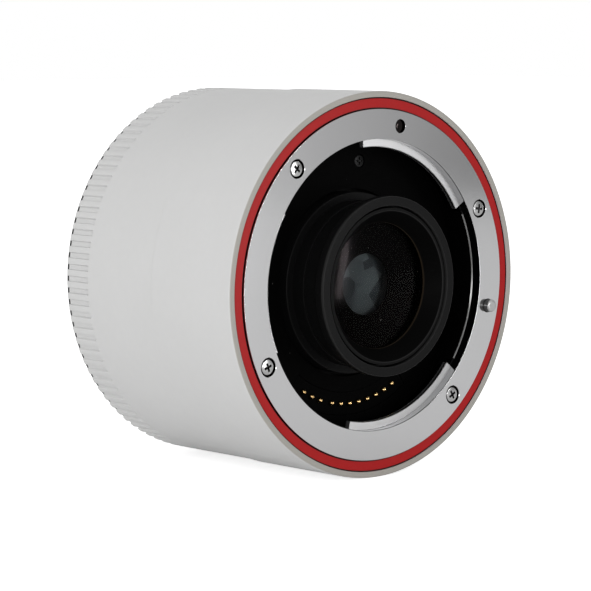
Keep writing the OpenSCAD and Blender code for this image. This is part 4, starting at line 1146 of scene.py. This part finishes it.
class CONVERTER_OT_release(PieceOperator):
    """Model the release lever and the lock pin that it draws in."""
    bl_idname = "converter.release"
    bl_label = "Release"

    def build(self, scene):
        self.lever(scene.converter_lever)
        self.pin(scene.converter_mount)

    def lever(self, size):
        """A thumb pad over the barrel and its stem.

        The pad's half width follows its rounded corners along its length. Its top is flat, less the thumb
        grooves and less a rounding that grows towards the outline; its underside follows the barrel.
        """
        low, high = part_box("release_lever")
        half_length = (high.y - low.y) / 2
        half_width = (high.z - low.z) / 2
        middle = (high.y + low.y) / 2
        straight = half_length - size.corner
        quarter = np.linspace(0, math.pi / 2, PAD_CORNER_ROWS)
        along = np.concatenate([-half_length + size.corner * (1 - np.cos(quarter)),
                                np.linspace(-straight, straight, PAD_ROWS)[1:-1],
                                half_length - size.corner * (1 - np.sin(quarter))])
        past = np.maximum(np.abs(along) - straight, 0)
        half = half_width - size.corner + np.sqrt(np.maximum(size.corner ** 2 - past ** 2, 0))
        across = half[:, None] * np.sin(np.linspace(-math.pi / 2, math.pi / 2, PAD_COLUMNS))
        along = np.broadcast_to(along[:, None], across.shape)
        from_corner = np.hypot(np.maximum(np.abs(along) - straight, 0),
                               np.maximum(np.abs(across) - half_width + size.corner, 0))
        inset = size.corner - from_corner
        rounding = size.edge - np.sqrt(np.maximum(size.edge ** 2 - np.maximum(size.edge - inset, 0) ** 2, 0))
        steps = np.arange(size.grooves) - (size.grooves - 1) / 2
        off = np.abs(along[..., None] - steps * size.pitch).min(axis=-1)
        ball = size.groove_ball
        groove = np.maximum(np.sqrt(np.maximum(ball ** 2 - off ** 2, 0)) - ball / 2, 0)
        top = np.stack([high.x - groove - rounding, middle + along, across], axis=-1)
        under_r = FRONT_R + size.gap
        under = np.stack([np.sqrt(under_r ** 2 - across ** 2), middle + along, across], axis=-1)
        shape = Shape()
        shape.grid(top)
        shape.grid(under)
        for edge in (np.s_[0], np.s_[-1], np.s_[:, 0], np.s_[:, -1]):
            shape.grid(np.stack([top[edge], under[edge]]))
        stem = -lever_place(size)
        stem_overlap = 0.5 * MM
        box(shape, (low.x, stem - size.stem_length / 2, -size.stem_width / 2),
            (under_r + stem_overlap, stem + size.stem_length / 2, size.stem_width / 2))
        shape.piece("release_lever_pad", material("lever_black"), RELEASE, "release_lever", "lever_black")

    def pin(self, size):
        """A stepped pin with a rounded tip, turned about its own axis."""
        foot, tip = span("lock_pin")
        tip_round, step_depth = 0.45 * MM, 0.1 * MM
        step = LENS_FACE - step_depth
        corners = [(0, foot), (size.lock_shank, foot), (size.lock_shank, step), (size.lock_tip, step),
                   (size.lock_tip, tip), (0, tip)]
        shape = Shape()
        outline = soften(corners, [0, 0, 0, 0, tip_round, 0], TIP_STEPS)
        shape.turn(outline, PIN_TURNS, on_circle(size.hole_circle, LOCK_ANGLE))
        shape.piece("lock_pin_steel", material("pin_steel"), RELEASE, "lock_pin", "chrome")


class CONVERTER_OT_springs(PieceOperator):
    """Model the coil springs of the lock and of the contact pins."""
    bl_idname = "converter.springs"
    bl_label = "Springs"

    def build(self, scene):
        size = scene.converter_springs
        self.spring("lock_spring_wire", "lock_spring", "lens_release", "lock_spring",
                    size.lock_coil, size.lock_wire, size.lock_curls)
        for pin in PIN_NODES:
            self.spring(pin.replace("pin", "spring") + "_wire", "contact_springs", pin + "_press", pin,
                        size.pin_coil, size.pin_wire, size.pin_curls)

    def spring(self, name, node, joint, centred_on, radius, wire, curls):
        """One spring on the axis of a node. Its joint is not used."""
        low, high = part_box(centred_on)
        centre = (low.x + high.x) / 2, (low.z + high.z) / 2
        back, front = span(node)
        shape = Shape()
        coil(shape, centre, back, front, radius, wire, curls)
        made = shape.piece(name, material("spring_steel"), BARREL, node, "spring_steel")
        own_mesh(made)


class CONVERTER_OT_stage(PieceOperator):
    """Set up the floor, the lights, the white surroundings and the camera."""
    bl_idname = "converter.stage"
    bl_label = "Studio"

    def build(self, scene):
        studio = scene.converter_studio
        scene.view_settings.view_transform = "Standard"
        self.surroundings(scene, studio)
        self.floor(studio)
        self.lamp("key_light", KEY_PLACE, KEY_SIZE, studio.key)
        self.reflector("grey_card", CARD_PLACE, CARD_SIZE, 0.0, self.card_glow(studio))
        self.reflector("front_strip", STRIP_PLACE, STRIP_SIZE, STRIP_LEAN, self.strip_glow(studio))
        self.camera(scene, studio)

    def seen(self, tree, direct, shine):
        """One strength for camera rays, another off gloss and through glass, and none for other rays."""
        path = add(tree, "ShaderNodeLightPath").outputs
        gloss = calc(tree, "MAXIMUM", path["Is Glossy Ray"], path["Is Transmission Ray"])
        return calc(tree, "MAXIMUM", calc(tree, "MULTIPLY", path["Is Camera Ray"], direct),
                    calc(tree, "MULTIPLY", gloss, shine))

    def surroundings(self, scene, studio):
        """White where it is seen, and for everything else a fill that is a little weaker from above."""
        world = bpy.data.worlds.new("studio")
        world.use_nodes = True
        scene.world = world
        tree = world.node_tree
        upward = coordinate(tree, add(tree, "ShaderNodeTexCoord").outputs["Generated"], "Z")
        fill = ranged(tree, upward, FILL_FADE, 1.0, studio.fill, FILL_ABOVE * studio.fill)
        level = calc(tree, "MAXIMUM", self.seen(tree, 1.0, 1.0), fill)
        tree.links.new(level, tree.nodes["Background"].inputs["Strength"])
        tree.nodes["Background"].inputs["Color"].default_value = (1.0, 1.0, 1.0, 1.0)

    def sheet(self, name, corners, look):
        """A four-cornered sheet with its own UV map, as part of the stage."""
        mesh = bpy.data.meshes.new(name)
        mesh.from_pydata(corners, [], [(0, 1, 2, 3)])
        mesh.uv_layers.new(name="UVMap").data.foreach_set("uv", (0, 0, 1, 0, 1, 1, 0, 1))
        mesh.materials.append(look)
        made = bpy.data.objects.new(name, mesh)
        bpy.context.scene.collection.objects.link(made)
        return made

    def plain(self, name):
        """A material without its first shader: itself, its tree and the socket of its surface."""
        made = bpy.data.materials.new(name)
        made.use_nodes = True
        tree = made.node_tree
        tree.nodes.remove(tree.nodes["Principled BSDF"])
        return made, tree, tree.nodes["Material Output"].inputs["Surface"]

    def floor(self, studio):
        """A level floor under the barrel, which is rolled a little on it."""
        corners = [STUDIO_ROLL @ Vector((x * FLOOR_HALF, y * FLOOR_HALF, -FRONT_R)) for x, y in SHEET_CORNERS]
        pale, tree, surface = self.plain("pale_floor")
        matt = add(tree, "ShaderNodeBsdfDiffuse", {"Color": FLOOR_TONE})
        lift = self.seen(tree, studio.floor_glow, studio.floor_shine)
        glow = add(tree, "ShaderNodeEmission", {"Strength": lift})
        both = add(tree, "ShaderNodeAddShader", {0: matt.outputs[0], 1: glow.outputs[0]})
        tree.links.new(both.outputs[0], surface)
        self.sheet("floor", corners, pale)

    def card_glow(self, studio):
        """Grey card: paler on its left, with a soft dark patch right of its middle."""
        grey, tree, surface = self.plain("grey_card")
        place = add(tree, "ShaderNodeTexCoord").outputs["UV"]
        shade = ranged(tree, coordinate(tree, place, "X"), *CARD_FADE, studio.card_left, studio.card_right,
                       "SMOOTHSTEP")
        away = add(tree, "ShaderNodeVectorMath", {0: place, 1: PATCH_PLACE}, operation="DISTANCE")
        patch = ranged(tree, away.outputs["Value"], *PATCH_REACH, PATCH_TONE, 1.0, "SMOOTHSTEP")
        level = calc(tree, "MULTIPLY", shade, patch)
        tree.links.new(add(tree, "ShaderNodeEmission", {"Strength": level}).outputs[0], surface)
        return grey

    def strip_glow(self, studio):
        """A narrow bright window."""
        bright, tree, surface = self.plain("front_strip")
        tree.links.new(add(tree, "ShaderNodeEmission", {"Strength": studio.strip}).outputs[0], surface)
        return bright

    def reflector(self, name, middle, size, lean, glow):
        """An upright sheet that faces the lens end and leans to its right.

        It is seen only in gloss and through glass.
        """
        width, height = size
        middle = Vector(middle)
        away = (middle - Vector((0.0, -LENS_FACE, 0.0))).normalized()
        up = Vector((0.0, 0.0, 1.0))
        right = up.cross(away).normalized()
        corners = [STUDIO_ROLL @ (middle + right * (x * width + z * lean) / 2 + up * (z * height / 2))
                   for x, z in SHEET_CORNERS]
        made = self.sheet(name, corners, glow)
        made.visible_camera = False
        made.visible_diffuse = False
        made.visible_shadow = False

    def lamp(self, name, place, size, power):
        """A soft rectangular light that looks at the middle of the barrel."""
        data = bpy.data.lights.new(name, "AREA")
        data.shape = "RECTANGLE"
        data.size, data.size_y = size
        data.energy = power
        made = bpy.data.objects.new(name, data)
        middle = Vector((0.0, -LENS_FACE / 2, 0.0))
        self.aim(made, Vector(place), middle - Vector(place))

    def camera(self, scene, studio):
        """A level camera that looks a little down on the barrel, from the lens end and its left."""
        data = bpy.data.cameras.new("camera")
        data.lens = studio.lens_mm
        data.sensor_width = SENSOR_MM
        data.clip_start = NEAREST
        made = bpy.data.objects.new("camera", data)
        self.aim(made, Vector(CAMERA_PLACE), Vector(CAMERA_AHEAD))
        scene.camera = made

    def aim(self, made, place, ahead):
        """Puts a light or the camera in its place, with the studio's turn, and points it."""
        turn = ahead.to_track_quat("-Z", "Y").to_matrix().to_4x4()
        made.matrix_world = STUDIO_ROLL @ Matrix.Translation(place) @ turn
        bpy.context.scene.collection.objects.link(made)


PIECES = (
    CONVERTER_OT_materials,
    CONVERTER_OT_barrel,
    CONVERTER_OT_trim,
    CONVERTER_OT_front_mount,
    CONVERTER_OT_rear_mount,
    CONVERTER_OT_screws,
    CONVERTER_OT_optics,
    CONVERTER_OT_release,
    CONVERTER_OT_springs,
    CONVERTER_OT_stage,
)
GROUPS = {
    "converter_barrel": BarrelSizes,
    "converter_mount": MountSizes,
    "converter_optics": OpticsSizes,
    "converter_lever": LeverSizes,
    "converter_springs": SpringSizes,
    "converter_colours": FinishColours,
    "converter_studio": StudioSettings,
}


class CONVERTER_PT_pieces(bpy.types.Panel):
    """Lists the operators that dress the converter."""
    bl_label = "Converter"
    bl_space_type = "VIEW_3D"
    bl_region_type = "UI"
    bl_category = "Converter"

    def draw(self, context):
        for piece in PIECES:
            self.layout.operator(piece.bl_idname)


def register():
    for kind in (*GROUPS.values(), *PIECES, CONVERTER_PT_pieces):
        bpy.utils.register_class(kind)
    for name, kind in GROUPS.items():
        setattr(bpy.types.Scene, name, PointerProperty(type=kind))


def unregister():
    for name in GROUPS:
        delattr(bpy.types.Scene, name)
    for kind in (CONVERTER_PT_pieces, *reversed(PIECES), *GROUPS.values()):
        bpy.utils.unregister_class(kind)


def main():
    register()
    for piece in PIECES:
        getattr(bpy.ops.converter, piece.bl_idname.split(".")[1])()


if __name__ == "__main__":
    main()
